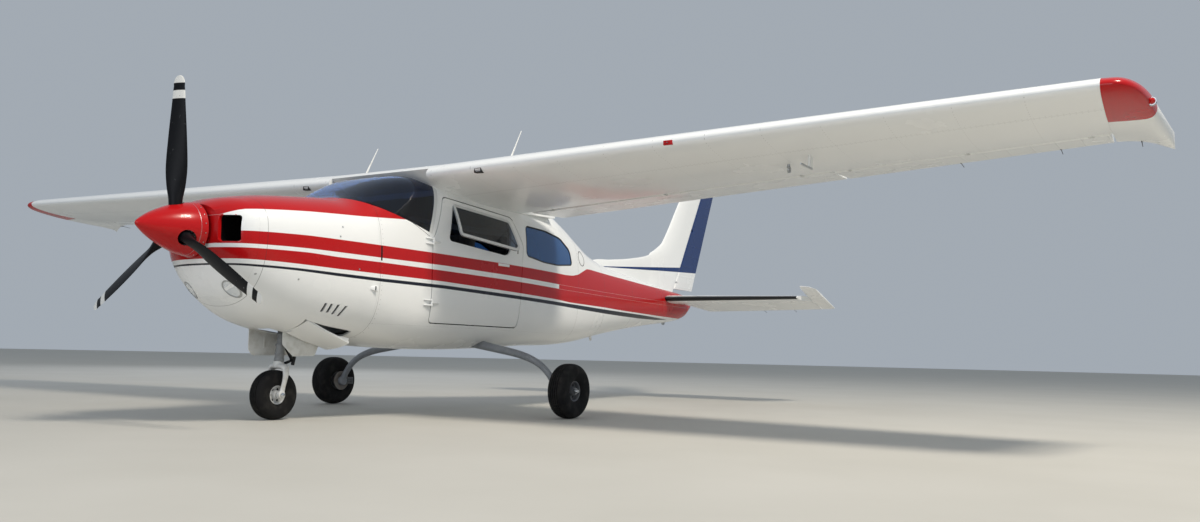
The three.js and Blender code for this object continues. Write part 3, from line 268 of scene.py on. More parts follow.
def weathered(material, color):
    """Dust and faint streaks that grey the paint a little, more so low down."""
    place = node(material, "TexCoord")["Object"]
    drawn = node(material, "Mapping", Vector=place, Scale=(3.0, 0.7, 1.6))["Vector"]
    cloud = node(material, "TexNoise", Vector=drawn, Scale=1.0, Detail=4.0, Roughness=0.5)["Fac"]
    low = node(
        material, "MapRange", Value=node(material, "SeparateXYZ", Vector=place)["Z"], From_Min=0.5,
        From_Max=1.0, To_Min=0.3, To_Max=0.045,
    )["Result"]
    amount = node(material, "Math MULTIPLY", cloud, low)[0]
    return node(material, "Mix RGBA", Factor=amount, A=color, B=linear("#8d8676"))["Result"]


def seam(material, value, spot, half=0.0016):
    """1 on a thin line where a value equals a spot, such as a joint between panels."""
    far = node(material, "Math ABSOLUTE", node(material, "Math SUBTRACT", value, spot)[0])[0]
    return node(
        material, "MapRange", Value=far, From_Min=half * 0.6, From_Max=half * 1.4, To_Min=1.0,
        To_Max=0.0,
    )["Result"]


def studs(material, value, spot, along, pitch, size=0.0026):
    """1 on a row of rivet heads where a value equals a spot, spaced along another value."""
    beat = node(material, "Math FLOORED_MODULO", along, pitch)[0]
    return all_of(
        material, seam(material, value, spot, size), seam(material, beat, pitch / 2, size),
    )


def striped(name, seams=(), rows=()):
    """The body's enamel with its stripes and with panel joints at some stations."""
    material = enamel(name)
    _, aft, z = axes(material)
    band = all_of(
        material, over(material, z, edge_height(material, aft, TOP_BAND_LOW)),
        over(material, BAND_END, aft),
    )
    upper = between(material, aft, z, UPPER_LOW, UPPER_TOP)
    lower = between(material, aft, z, LOWER_LOW, LOWER_TOP)
    pin = all_of(
        material, between(material, aft, z, LOWER_TOP, UPPER_LOW), over(material, aft, PIN_END),
    )
    front = all_of(
        material, between(material, aft, z, UPPER_LOW, TOP_BAND_LOW),
        over(material, INLET_SIDE, aft),
    )
    red = band
    for part in (upper, lower, pin, front):
        red = node(material, "Math MAXIMUM", red, part)[0]
    navy = all_of(
        material, between(material, aft, z, LINE_LOW, LINE_TOP), over(material, LINE_END, aft),
    )
    color = node(material, "Mix RGBA", Factor=red, A=linear(WHITE), B=linear(RED))["Result"]
    color = node(material, "Mix RGBA", Factor=navy, A=color, B=linear("#0d1526"))["Result"]
    color = weathered(material, color)
    # the gap at the firewall where the side panels end, left open for movement
    gap = all_of(
        material, over(material, aft, GAP_AFT[0]), over(material, GAP_AFT[1], aft),
        over(material, z, GAP_HIGH[0]), over(material, GAP_HIGH[1], z),
    )
    color = node(material, "Mix RGBA", Factor=gap, A=color, B=linear("#0c0c0d"))["Result"]
    for station in seams:
        dark = node(material, "Math MULTIPLY", seam(material, aft, station), 0.55)[0]
        color = node(material, "Mix RGBA", Factor=dark, A=color, B=linear("#2a2a2a"))["Result"]
    # flush rivets of 4 mm in a row each side of the lapped joints of the tail
    for station in rows:
        heads = studs(material, aft, station, z, BODY_RIVET_PITCH)
        heads = node(material, "Math MULTIPLY", heads, 0.5)[0]
        color = node(material, "Mix RGBA", Factor=heads, A=color, B=linear("#5c5a55"))["Result"]
    feed(material, color, "Base Color")
    return material


body_paint = striped(
    "sprayed_enamel_body", (0.652, 1.605, 4.45, 5.12, 5.88, 6.62, 7.59),
    (1.625, 4.465, 5.107, 5.133, 5.867, 5.893, 6.607, 6.633),
)


# Nose bowl. A bowl of moulded fibreglass round the crankshaft, red above and white below, with
# a cooling air inlet each side; it is screwed to the cowls behind it.
# station, half width, height of the widest line, top, bottom, roundness above and below
BODY = (
    (0.43, 0.255, 1.3, 1.47, 1.112, 2.2, 2.2), (0.5, 0.385, 1.3, 1.51, 0.966, 2.5, 2.3),
    (0.6, 0.45, 1.29, 1.54, 0.84, 2.7, 2.3), (0.78, 0.503, 1.26, 1.575, 0.716, 2.8, 2.4),
    (1.0, 0.533, 1.22, 1.603, 0.65, 2.9, 2.6), (1.24, 0.55, 1.18, 1.63, 0.614, 3.0, 2.8),
    (1.48, 0.562, 1.15, 1.665, 0.6, 3.0, 3.0), (1.66, 0.567, 1.13, 1.775, 0.582, 3.1, 3.2),
    (1.86, 0.571, 1.11, 1.872, 0.56, 3.6, 3.5), (2.09, 0.575, 1.1, 1.925, 0.543, 4.6, 3.7),
    (2.6, 0.578, 1.1, 1.95, 0.533, 5.0, 3.8), (3.3, 0.573, 1.095, 1.95, 0.557, 5.0, 3.6),
    (3.92, 0.532, 1.08, 1.92, 0.59, 4.4, 3.2), (4.3, 0.48, 1.08, 1.835, 0.6, 3.6, 3.0),
    (4.6, 0.436, 1.08, 1.722, 0.618, 3.2, 2.8), (4.93, 0.388, 1.08, 1.6, 0.655, 2.9, 2.6),
    (5.4, 0.325, 1.09, 1.51, 0.73, 2.6, 2.4), (6.0, 0.252, 1.1, 1.45, 0.815, 2.4, 2.3),
    (6.6, 0.19, 1.12, 1.392, 0.885, 2.3, 2.2), (7.17, 0.135, 1.145, 1.34, 0.945, 2.2, 2.2),
    (7.58, 0.088, 1.175, 1.306, 1.02, 2.1, 2.1), (7.78, 0.04, 1.205, 1.262, 1.13, 2.0, 2.0),
)
NOSE, BOWL_END, FIREWALL, CABIN_END, TAIL_END = 0.43, 0.6, 1.59, 4.45, 7.6
JOINT = 0.0004  # left open between panels that meet
AROUND = 80  # faces round a section
SHELL_STEP = 0.055  # longest face along the body


def smooth_row(table, spot):
    """All columns of a table at one spot of its first column, smooth through the rows."""
    row = 1
    while row < len(table) - 1 and spot > table[row][0]:
        row += 1
    span = table[row][0] - table[row - 1][0]
    t = min(max((spot - table[row - 1][0]) / span, 0.0), 1.0)

    def slope(index, column):
        before, after = table[max(index - 1, 0)], table[min(index + 1, len(table) - 1)]
        return (after[column] - before[column]) / (after[0] - before[0])

    return [
        (2 * t**3 - 3 * t**2 + 1) * table[row - 1][column]
        + (t**3 - 2 * t**2 + t) * slope(row - 1, column) * span
        + (3 * t**2 - 2 * t**3) * table[row][column]
        + (t**3 - t**2) * slope(row, column) * span
        for column in range(len(table[0]))
    ]


def body_point(station, turn, inset=0.0):
    _, half, wide, top, low, round_top, round_low = smooth_row(BODY, station)
    across, up = math.cos(turn), math.sin(turn)
    power = 2 / (round_top if up >= 0 else round_low)
    reach = (top - wide if up >= 0 else wide - low) - inset
    x = (half - inset) * math.copysign(abs(across) ** power, across)
    return at(x, station, wide + reach * math.copysign(abs(up) ** power, up))


def active(piece):
    """Makes a piece the only selected one."""
    bpy.ops.object.select_all(action="DESELECT")
    piece.select_set(True)
    bpy.context.view_layer.objects.active = piece
    return piece


def edited(piece, *steps):
    """Runs edit-mode operators on all of a piece."""
    active(piece)
    bpy.ops.object.mode_set(mode="EDIT")
    bpy.ops.mesh.select_all(action="SELECT")
    for step in steps:
        step()
    bpy.ops.object.mode_set(mode="OBJECT")
    return piece


def modified(piece, kind, **settings):
    """Adds a modifier and applies it."""
    active(piece)
    bpy.ops.object.modifier_add(type=kind)
    modifier = piece.modifiers[-1]
    for name, value in settings.items():
        setattr(modifier, name, value)
    bpy.ops.object.modifier_apply(modifier=modifier.name)
    return piece


def weld():
    bpy.ops.mesh.remove_doubles(threshold=0.00001)


def outwards():
    bpy.ops.mesh.normals_make_consistent(inside=False)


def cap():
    """Closes the open ends of a tube."""
    bpy.ops.mesh.select_all(action="DESELECT")
    bpy.ops.mesh.select_non_manifold()
    bpy.ops.mesh.fill_holes(sides=0)
    bpy.ops.mesh.select_all(action="SELECT")


def surface(name, columns, rows, spot):
    """A grid whose points are moved to spot(share along, share round)."""
    bpy.ops.object.select_all(action="DESELECT")
    bpy.ops.mesh.primitive_grid_add(x_subdivisions=columns, y_subdivisions=rows, size=2)
    piece = bpy.context.object
    piece.name = name
    for vertex in piece.data.vertices:
        vertex.co = spot((vertex.co.y + 1) / 2, (vertex.co.x + 1) / 2)
    return piece


def skin(name, start, end, wall=0.0, inset=0.0):
    """The body's skin between two stations: a wall, or a solid where wall is 0."""
    rows = max(2, math.ceil((end - start) / SHELL_STEP))

    def spot(along, around):
        return body_point(start + (end - start) * along, -2 * math.pi * around, inset)

    piece = surface(name, AROUND, rows, spot)
    if not wall:
        return edited(piece, weld, cap, outwards)
    edited(piece, weld)
    return modified(piece, "SOLIDIFY", thickness=wall, offset=-1.0, use_even_offset=True)


def block(x, station, z):
    """A box from corner to corner, for a cut or as the start of a piece."""
    bpy.ops.object.select_all(action="DESELECT")
    bpy.ops.mesh.primitive_cube_add(size=1)
    piece = bpy.context.object
    middle = at(sum(x) / 2, sum(station) / 2, sum(z) / 2)
    size = Vector((x[1] - x[0], station[1] - station[0], z[1] - z[0]))
    for vertex in piece.data.vertices:
        vertex.co = middle + Vector(c * s for c, s in zip(vertex.co, size))
    return piece


def plate(corners, x, rounding=0.0, segments=6):
    """A plate with an outline of stations and heights, from one X to another."""
    bpy.ops.object.select_all(action="DESELECT")
    bpy.ops.mesh.primitive_circle_add(vertices=len(corners), fill_type="NGON")
    piece = bpy.context.object
    for vertex, (station, z) in zip(piece.data.vertices, corners):
        vertex.co = at(x[0], station, z)

    def corner():
        if rounding:
            bpy.ops.mesh.bevel(
                offset=rounding, segments=segments, affect="VERTICES", clamp_overlap=True,
            )
        bpy.ops.mesh.select_all(action="SELECT")
        bpy.ops.mesh.extrude_region_move(TRANSFORM_OT_translate={"value": (x[1] - x[0], 0, 0)})
        bpy.ops.mesh.select_all(action="SELECT")

    return edited(piece, corner, outwards)


def cut(piece, *cutters, keep="DIFFERENCE"):
    """Cuts a piece with other solids, which are then deleted."""
    for cutter in cutters:
        modified(piece, "BOOLEAN", object=cutter, operation=keep, solver="EXACT")
        bpy.data.meshes.remove(cutter.data)
    return piece


def copied(piece, name):
    active(piece)
    bpy.ops.object.duplicate()
    twin = bpy.context.object
    twin.name = name
    return twin


def mirrored(piece, name):
    """The same piece on the aircraft's other side, with its own mesh."""
    twin = copied(piece, name)
    for vertex in twin.data.vertices:
        vertex.co.x = -vertex.co.x
    return edited(twin, bpy.ops.mesh.flip_normals)


def done(piece, paint, stands_for=None, body="airframe", angle=35.0):
    """Smooths a finished piece's shading, gives it its material and body, and hides the CAD node
    that it stands for.
    """
    active(piece)
    bpy.ops.object.shade_smooth_by_angle(angle=math.radians(angle))
    piece.data.name = piece.name
    if paint:
        piece.data.materials.clear()
        piece.data.materials.append(paint)
    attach(piece, body)
    if stands_for:
        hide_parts(stands_for)


def pair(piece, paint, stands_for=None, body="airframe"):
    """Finishes a piece of the left side, which its name says, and its twin on the right."""
    twin = mirrored(piece, piece.name.replace("left", "right"))
    for made, side in ((twin, "right"), (piece, "left")):
        rides = body if body == "airframe" else f"{body}_{side}"
        done(made, paint, stands_for and f"{stands_for}_{side}", body=rides)


def lined(piece, lining):
    """Gives the faces that look into the body the lining's material."""
    piece.data.materials.append(lining)
    for face in piece.data.polygons:
        wide = smooth_row(BODY, face.center.y + HALF_LENGTH)[2]
        if face.normal.dot(Vector((face.center.x, 0, face.center.z - wide)).normalized()) < -0.45:
            face.material_index = 1
    return piece


SHEET = 0.012  # wall of the bowl
INLET_NEAR, INLET_FAR, INLET_LOW, INLET_HIGH = 0.246, 0.384, 1.212, 1.386
SIDES = ((1, "left"), (-1, "right"))


def inlet(side, grow=0.0, back=0.0):
    """The space inside one air inlet, with rounded corners."""
    x = sorted((side * (INLET_NEAR - grow), side * (INLET_FAR + grow)))
    z = (INLET_LOW - grow, INLET_HIGH + grow)
    piece = block(x, (NOSE - 0.02, BOWL_END - 0.025 + back), z)
    return modified(piece, "BEVEL", width=0.022 + grow, segments=5, limit_method="ANGLE")


bowl = skin("nose_bowl_shell", NOSE, BOWL_END - JOINT)
cut(bowl, skin("bowl_inside", NOSE + SHEET, BOWL_END + 0.01, inset=SHEET), inlet(1), inlet(-1))
shaft_hole = block((-0.105, 0.105), (NOSE - 0.02, NOSE + 0.06), (1.189, 1.399))
modified(shaft_hole, "BEVEL", width=0.1, segments=10, limit_method="ANGLE")
cut(bowl, shaft_hole)
modified(bowl, "BEVEL", width=0.003, segments=3, limit_method="ANGLE", angle_limit=0.9)
done(bowl, body_paint, "nose_bowl")
inlet_paint_and_shade = enamel("sprayed_enamel_inlet_duct")
# red at the lip, and deeper in a near-black that is painted shade for the dark inside of the inlet;
# the lip runs aft by half of its X
DUCT_SHADE_DEPTH = 0.332
side_way, aft_way, _ = axes(inlet_paint_and_shade)
side_way = node(inlet_paint_and_shade, "Math ABSOLUTE", side_way)[0]
lip_run = node(inlet_paint_and_shade, "Math MULTIPLY", side_way, 0.5)[0]
lip_depth = node(inlet_paint_and_shade, "Math SUBTRACT", aft_way, lip_run)[0]
color = node(
    inlet_paint_and_shade, "Mix RGBA", Factor=over(inlet_paint_and_shade, lip_depth, DUCT_SHADE_DEPTH),
    A=weathered(inlet_paint_and_shade, linear(RED)), B=linear("#0a0a0b"),
)["Result"]
feed(inlet_paint_and_shade, color, "Base Color")
for side, name in SIDES:
    duct = skin(f"inlet_duct_{name}", NOSE + 0.004, BOWL_END - 0.002, inset=0.004)
    cut(duct, inlet(side, 0.004, 0.06), keep="INTERSECT")
    cut(duct, inlet(side, 0.0005, 0.2))
    done(duct, inlet_paint_and_shade)

# Upper and lower cowl. Formed aluminium sheet round the engine, screwed to each other along the
# sides, with louvres, the nose wheel's well and two outlets for the cooling air.
WINDSHIELD = (
    (1.415, 1.73), (1.47, 1.652), (1.63, 1.6), (1.87, 1.522), (2.15, 1.443), (2.257, 1.812),
    (2.092, 1.99),
)
COWL_SPLIT = 1.205
FAR = 0.7  # an X beyond the skin


def grown(corners, distance):
    """An outline moved outwards, or inwards where the distance is negative."""
    area = sum(u * q - p * v for (u, v), (p, q) in zip(corners, corners[1:] + corners[:1]))
    turn = math.copysign(1.0, area)
    edges = []
    for (u, v), (p, q) in zip(corners, corners[1:] + corners[:1]):
        size = math.hypot(p - u, q - v)
        normal = (turn * (q - v) / size, -turn * (p - u) / size)
        edges.append((normal, u * normal[0] + v * normal[1] + distance))
    spots = []
    for (a, b), (c, d) in zip(edges[-1:] + edges[:-1], edges):
        cross = a[0] * c[1] - a[1] * c[0]
        spots.append(((b * c[1] - d * a[1]) / cross, (a[0] * d - c[0] * b) / cross))
    return tuple(spots)


def windshield_hole():
    return plate(grown(WINDSHIELD, JOINT), (-FAR, FAR))


cowl = cut(skin("cowl", BOWL_END, FIREWALL - JOINT, 0.012), windshield_hole())
cowl_top = copied(cowl, "cowl_upper_sheet")
cut(cowl_top, block((-FAR, FAR), (0.5, 1.7), (COWL_SPLIT + JOINT, 1.9)), keep="INTERSECT")
done(cowl_top, body_paint, "cowl_upper")
cowl_low = cowl
cowl_low.name = "cowl_lower_sheet"
cut(cowl_low, block((-FAR, FAR), (0.5, 1.7), (0.4, COWL_SPLIT)), keep="INTERSECT")
WELL_HALF, WELL_START, WELL_END = 0.112, 0.985, 1.455
FLAP_START, FLAP_END, FLAP_NEAR, FLAP_FAR = 1.09, 1.515, 0.135, 0.365
OUTLET_GAP = 0.006


def outlet(side, grow):
    x = sorted((side * (FLAP_NEAR - grow), side * (FLAP_FAR + grow)))
    return block(x, (FLAP_START - grow, FLAP_END + grow), (0.5, 0.8))


cut(
    cowl_low,
    block((-WELL_HALF, WELL_HALF), (WELL_START, WELL_END), (0.5, 0.8)),
    outlet(1, OUTLET_GAP), outlet(-1, OUTLET_GAP),
)
# each louvre's slot: station at its top and foot, height at its top and foot
LOUVRES = (
    (1.163, 1.154, 0.842, 0.782), (1.211, 1.202, 0.84, 0.778), (1.268, 1.25, 0.836, 0.768),
    (1.335, 1.302, 0.83, 0.758),
)
for top_aft, foot_aft, top_z, foot_z in LOUVRES:
    slot_outline = (
        (top_aft - 0.011, top_z), (top_aft + 0.011, top_z), (foot_aft + 0.011, foot_z),
        (foot_aft - 0.011, foot_z),
    )
    cut(cowl_low, plate(slot_outline, (0.3, FAR)), plate(slot_outline, (-FAR, -0.3)))
done(cowl_low, body_paint, "cowl_lower")

# Cowl flaps. Two hinged trailing panels of the same sheet under the engine, open when parked;
# a pin along their front edge carries them.
FLAP_PIN_X = 0.175
FLAP_AXIS = Vector((FLAP_PIN_X, -3.1945, 0.647011))
OPEN = math.radians(12.0)


def turned(piece, centre, axis, angle):
    """Turns a piece's points about an axis through a point."""
    matrix = Matrix.Translation(centre) @ Matrix.Rotation(angle, 4, axis)
    piece.data.transform(matrix @ Matrix.Translation(-centre))
    return piece


def joined(name, *pieces):
    """Several solids as one piece."""
    bpy.ops.object.select_all(action="DESELECT")
    for piece in pieces:
        piece.select_set(True)
    bpy.context.view_layer.objects.active = pieces[0]
    if len(pieces) > 1:
        bpy.ops.object.join()
    pieces[0].name = name
    return pieces[0]


for side, name in SIDES:
    panel = skin(f"cowl_flap_sheet_{name}", FLAP_START - 0.05, FIREWALL, 0.012)
    cut(panel, outlet(side, 0.0), keep="INTERSECT")
    notch = side * FLAP_PIN_X
    cut(panel, block((notch - 0.03, notch + 0.03), (1.06, 1.117), (0.5, 0.8)))
    # side walls of the flap, which stand inside the cowl when it is closed
    walls = []
    for low in (FLAP_FAR - 0.0065, FLAP_NEAR + 0.003):
        wall = plate((
            (FLAP_START + 0.03, 0.625), (FLAP_END - 0.006, 0.59), (FLAP_END - 0.006, 0.69),
            (FLAP_START + 0.03, 0.655),
        ), sorted((side * low, side * (low + 0.0035))))
        cut(wall, skin("inside", FLAP_START - 0.05, FIREWALL, inset=0.006), keep="INTERSECT")
        walls.append(wall)
    panel = joined(panel.name, panel, *walls)
    turned(panel, FLAP_AXIS, Vector((1, 0, 0)), -OPEN)
    done(panel, body_paint, f"cowl_flap_{name}", body=f"cowl_flap_{name}")
    bpy.ops.object.select_all(action="DESELECT")
    bpy.ops.mesh.primitive_cylinder_add(
        vertices=20, radius=0.007, depth=0.059,
        location=(side * FLAP_PIN_X, FLAP_AXIS.y, FLAP_AXIS.z), rotation=(0, math.pi / 2, 0),
    )
    pin = bpy.context.object
    pin.name = f"cowl_flap_pin_{name}"
    bpy.ops.object.transform_apply()
    modified(pin, "BEVEL", width=0.001, segments=2)
    done(pin, body_paint)

# Cabin walls. Aluminium skin over frames, about 36 mm deep with its trim inside: a belly, two
# sides with doorways and long rear windows, and their fabric-covered lining.
DOOR = (
    (2.165, 0.745), (2.165, 1.4), (2.2, 1.46), (2.302, 1.758), (3.19, 1.702), (3.365, 1.475),
    (3.325, 0.745),
)
REAR_WINDOW = (
    (3.405, 1.668), (3.42, 1.388), (3.73, 1.355), (3.98, 1.352), (4.315, 1.384), (4.268, 1.536),
    (4.06, 1.628), (3.74, 1.664),
)
ROOF_LINE = (
    (1.58, 1.8), (2.23, 1.8), (2.29, 1.778), (3.19, 1.722), (3.4, 1.708), (4.46, 1.7),
)
FLOOR_SPLIT, CEILING, CABIN_WALL = 0.715, 1.762, 0.036
DOOR_CLEAR = 0.008


def woven(name, color, dark, thread=0.0025):
    """Wool and nylon cloth: a plain weave whose threads are drawn 2.5 mm wide so that they show."""
    material = new_material(name, color, 0.92, Sheen_Weight=0.35)
    place = node(material, "TexCoord")["Object"]
    scale = math.pi / thread
    parts = node(material, "SeparateXYZ", Vector=place)
    waves = [node(material, "Math MULTIPLY", parts[axis], scale)[0] for axis in "XYZ"]
    waves = [node(material, "Math SINE", wave)[0] for wave in waves]
    weave = node(material, "Math MULTIPLY", waves[0], waves[1])[0]
    weave = node(material, "Math ADD", weave, waves[2])[0]
    fleck = node(material, "TexNoise", Vector=place, Scale=260.0, Detail=3.0)["Fac"]
    worn = node(material, "TexNoise", Vector=place, Scale=5.0, Detail=4.0)["Fac"]
    shade = node(material, "Mix RGBA", Factor=fleck, A=linear(dark), B=linear(color))["Result"]
    worn = node(material, "Math MULTIPLY", worn, 0.35)[0]
    shade = node(material, "Mix RGBA", Factor=worn, A=shade, B=linear(dark))["Result"]
    feed(material, shade, "Base Color")
    bump = node(material, "Bump", Height=weave, Strength=0.25, Distance=0.001)["Normal"]
    feed(material, bump, "Normal")
    return material


lining_cloth = woven("grey_lining_cloth", "#9a9a98", "#7c7b78")
inside = skin("cabin_inside", FIREWALL - 0.1, CABIN_END + 0.001, inset=CABIN_WALL)
cut(inside, block((-FAR, FAR), (2.04, CABIN_END + 0.01), (CEILING, 2.1)))
cabin = skin("cabin", FIREWALL + JOINT, CABIN_END - JOINT)
cut(cabin, copied(inside, "cabin_cut"), windshield_hole())
belly = copied(cabin, "belly_sheet")
cut(belly, block((-FAR, FAR), (1.5, 4.5), (0.5, FLOOR_SPLIT)), keep="INTERSECT")
belly.data.materials.append(body_paint)
done(lined(belly, lining_cloth), None, "belly")
side_wall = cabin
side_wall.name = "cabin_side_sheet_left"
under_roof = ((1.58, FLOOR_SPLIT + JOINT),) + ROOF_LINE + ((4.46, FLOOR_SPLIT + JOINT),)
cut(side_wall, plate(under_roof, (0.0002, FAR)), keep="INTERSECT")
cut(side_wall, plate(grown(DOOR, DOOR_CLEAR), (0.0, FAR), 0.04))
cut(side_wall, plate(REAR_WINDOW, (0.0, FAR), 0.045, 8))
side_wall.data.materials.append(body_paint)
lined(side_wall, lining_cloth)
pair(side_wall, None, "cabin_side")

# Roof. The skin above the doors in one with the centre section of the wing, which runs right
# across the cabin and holds both wings without struts.
WING_ROOT = {"x": 0.575, "lead": 2.09, "lead_z": 1.912, "trail": 3.92, "trail_z": 1.796}
WING_END = {"x": 5.28, "lead": 2.158, "lead_z": 2.04, "trail": 3.317, "trail_z": 1.956}
# Wing section: square root of the share of the chord, height above and depth below the chord
FOIL = (
    (0.0, 0.0, 0.0), (0.1095, 0.023, 0.016), (0.2236, 0.045, 0.029), (0.3464, 0.069, 0.04),
    (0.4899, 0.088, 0.049), (0.6164, 0.094, 0.052), (0.7348, 0.084, 0.047), (0.8367, 0.059, 0.034),
    (0.922, 0.03, 0.017), (1.0, 0.002, 0.001),
)
ROOF_SIDE = 0.54
FOIL_STEPS, WALL_STEPS = 64, 6  # points round a section, and up its aft wall


def wing_edge(x):
    t = (x - WING_ROOT["x"]) / (WING_END["x"] - WING_ROOT["x"])
    return {key: WING_ROOT[key] + t * (WING_END[key] - WING_ROOT[key]) for key in WING_ROOT}


def foil_point(edge, share, side, thick=1.0):
    chord = edge["trail"] - edge["lead"]
    rise = edge["trail_z"] - edge["lead_z"]
    deep = smooth_row(FOIL, math.sqrt(share))[1 if side > 0 else 2]
    return at(
        edge["x"], edge["lead"] + share * chord,
        edge["lead_z"] + share * rise + side * thick * chord * deep,
    )


def foil_ring(edge, end, around, thick=1.0):
    """A point round the section: back over the top, round the nose, along below, up the wall."""
    step = around * (FOIL_STEPS + WALL_STEPS)
    if step <= FOIL_STEPS:
        t = math.sqrt(end) * (1 - 2 * step / FOIL_STEPS)
        return foil_point(edge, t * t, math.copysign(1, t), thick)
    top, low = foil_point(edge, end, 1, thick), foil_point(edge, end, -1, thick)
    return low.lerp(top, (step - FOIL_STEPS) / WALL_STEPS)


def foil_solid(name, edges, ends, thick=None):
    """A closed form through sections, each with an edge, an end share and a thickness."""
    thick = thick or [1.0] * len(edges)

    def spot(along, around):
        row = round(along * (len(edges) - 1))
        return foil_ring(edges[row], ends[row], around, thick[row])

    piece = surface(name, FOIL_STEPS + WALL_STEPS, len(edges) - 1, spot)
    return edited(piece, weld, cap, outwards)


def wing_box(grow=0.0):
    xs = [-ROOF_SIDE + 2 * ROOF_SIDE * i / 8 for i in range(9)]
    piece = foil_solid("wing_box", [{**WING_ROOT, "x": x} for x in xs], [0.985] * len(xs))
    if grow:
        piece.data.transform(Matrix.Translation((0, 0, -grow)))
    return piece


roof = skin("cabin_roof_sheet", 2.06, CABIN_END - JOINT)
above = ((1.58, 1.8 + JOINT),) + tuple((s, z + JOINT) for s, z in ROOF_LINE[1:]) + (
    (4.46, 2.1), (1.58, 2.1),
)
cut(roof, plate(above, (-FAR, FAR)), keep="INTERSECT")
cut(roof, wing_box(), keep="UNION")
cut(roof, inside, windshield_hole())


def largest(piece):
    """Keeps the largest of a piece's loose parts."""
    name = piece.name
    edited(piece, lambda: bpy.ops.mesh.separate(type="LOOSE"))
    parts = sorted(bpy.context.selected_objects, key=lambda part: len(part.data.vertices))
    for part in parts[:-1]:
        bpy.data.meshes.remove(part.data)
    parts[-1].name = name
    return parts[-1]


roof = largest(roof)
roof_paint = enamel("sprayed_enamel_white", color=WHITE)
roof.data.materials.append(roof_paint)
roof.data.materials.append(lining_cloth)
for face in roof.data.polygons:
    if abs(face.center.z - CEILING) < 0.001 and face.normal.z < -0.5:
        face.material_index = 1
done(roof, None, "cabin_roof")

# Windshield. One free-blown sheet of acrylic, tinted a cold grey with more blue as a painted
# reflection of the sky, and 6 mm thick, let into the cowl and roof and held at its aft edges by
# a painted metal strip each side.
GLASS, GLASS_SINK = 0.006, 0.005


def acrylic(name, color, clear=1.0, roughness=0.015):
    """Polished acrylic sheet: clear, tinted through, with fine wiping scratches."""
    material = new_material(name, color, roughness, Transmission_Weight=clear, IOR=1.49)
    place = node(material, "TexCoord")["Object"]
    drawn = node(material, "Mapping", Vector=place, Scale=(3.0, 3.0, 40.0))["Vector"]
    wiped = node(material, "TexNoise", Vector=drawn, Scale=4.0, Detail=4.0)["Fac"]
    haze = node(
        material, "MapRange", Value=wiped, From_Min=0.4, From_Max=0.8, To_Min=roughness,
        To_Max=roughness + 0.05,
    )["Result"]
    feed(material, haze, "Roughness")
    return material


# the windshield's blue is partly its grey tint and partly a painted reflection of the sky
windshield_acrylic_and_sky = acrylic("tinted_acrylic_windshield", "#435d88")
side_acrylic = acrylic("tinted_acrylic_side", "#62738a")
# the rear panes' blue, and the share of them that is not clear but diffuse, are a painted
# reflection of the blue sky
rear_acrylic_painted_sky = acrylic("tinted_acrylic_rear", "#447cc0", 0.6)
strip_paint = enamel("sprayed_enamel_strip", 0.35, "#d9dbdb")
# seal rubber: black, dull and faintly grained
seal_rubber = new_material("black_seal_rubber", "#151515", 0.7)
mottled(seal_rubber, "#101010", "#232323", Scale=300.0)


def under_wing(piece, gap):
    """Cuts away what lies in the wing box or just below it."""
    return cut(piece, wing_box(), wing_box(gap))


pane = skin("windshield_pane", 1.38, 4.4, GLASS, GLASS_SINK)
cut(pane, plate(WINDSHIELD, (-FAR, FAR)), keep="INTERSECT")
pane = largest(under_wing(pane, 0.002))
done(pane, windshield_acrylic_and_sky, "windshield")
AFT_EDGE = ((2.119, 1.4515), (2.15, 1.4435), (2.2565, 1.811), (2.232, 1.84), (2.227, 1.82))
for side, name in SIDES:
    strip = skin(f"windshield_strip_{name}", 2.0, 2.3, 0.0042, 0.0005)
    cut(strip, plate(AFT_EDGE, sorted((side * 0.3, side * FAR))), keep="INTERSECT")
    done(under_wing(strip, 0.002), strip_paint)

# Side windows. Flat-curved acrylic panes in rubber channels; the left door's pane hangs open
# on its top edge in a grey frame, held by a stay.
DOOR_WINDOW = ((2.352, 1.412), (2.408, 1.722), (3.16, 1.676), (3.172, 1.4), (3.112, 1.362))
VENT_OPEN = math.radians(24.0)
HINGE_START, HINGE_END = at(0.547, 2.408, 1.7216), at(0.554, 3.16, 1.6756)


def in_outline(name, corners, rounding, wall, inset, hole=None):
    piece = skin(name, 2.2, 4.4, wall, inset)
    cut(piece, plate(corners, (0.1, FAR), rounding, 8), keep="INTERSECT")
    if hole:
        cut(piece, plate(grown(corners, -hole), (0.1, FAR), max(rounding - hole, 0.01), 8))
    return piece


rear_pane = in_outline("rear_pane_left", grown(REAR_WINDOW, -JOINT), 0.045, GLASS, GLASS_SINK)
rear_seal = in_outline("rear_seal_left", grown(REAR_WINDOW, -0.0006), 0.045, 0.016, 0.0012, 0.012)
door_pane = in_outline("door_pane_left", grown(DOOR_WINDOW, -JOINT), 0.04, GLASS, GLASS_SINK)
door_frame = in_outline(
    "door_pane_frame_left", grown(DOOR_WINDOW, -0.0015), 0.04, 0.013, 0.0015, 0.026,
)
door_seal = in_outline("door_seal_left", grown(DOOR_WINDOW, 0.004), 0.04, 0.02, 0.014, 0.005)
pair(rear_pane, rear_acrylic_painted_sky, "rear_window")
pair(rear_seal, seal_rubber)
pair(door_seal, seal_rubber, body="door")
done(
    mirrored(door_pane, "door_pane_right"), side_acrylic, "door_window_right",
    body="door_right",
)
done(mirrored(door_frame, "door_pane_frame_right"), strip_paint, body="door_right")
swing = (HINGE_END - HINGE_START).normalized()
for piece in (door_pane, door_frame):
    turned(piece, HINGE_START, swing, -VENT_OPEN)
done(door_pane, side_acrylic, "door_window_left", body="door_left")
done(door_frame, strip_paint, body="door_left")

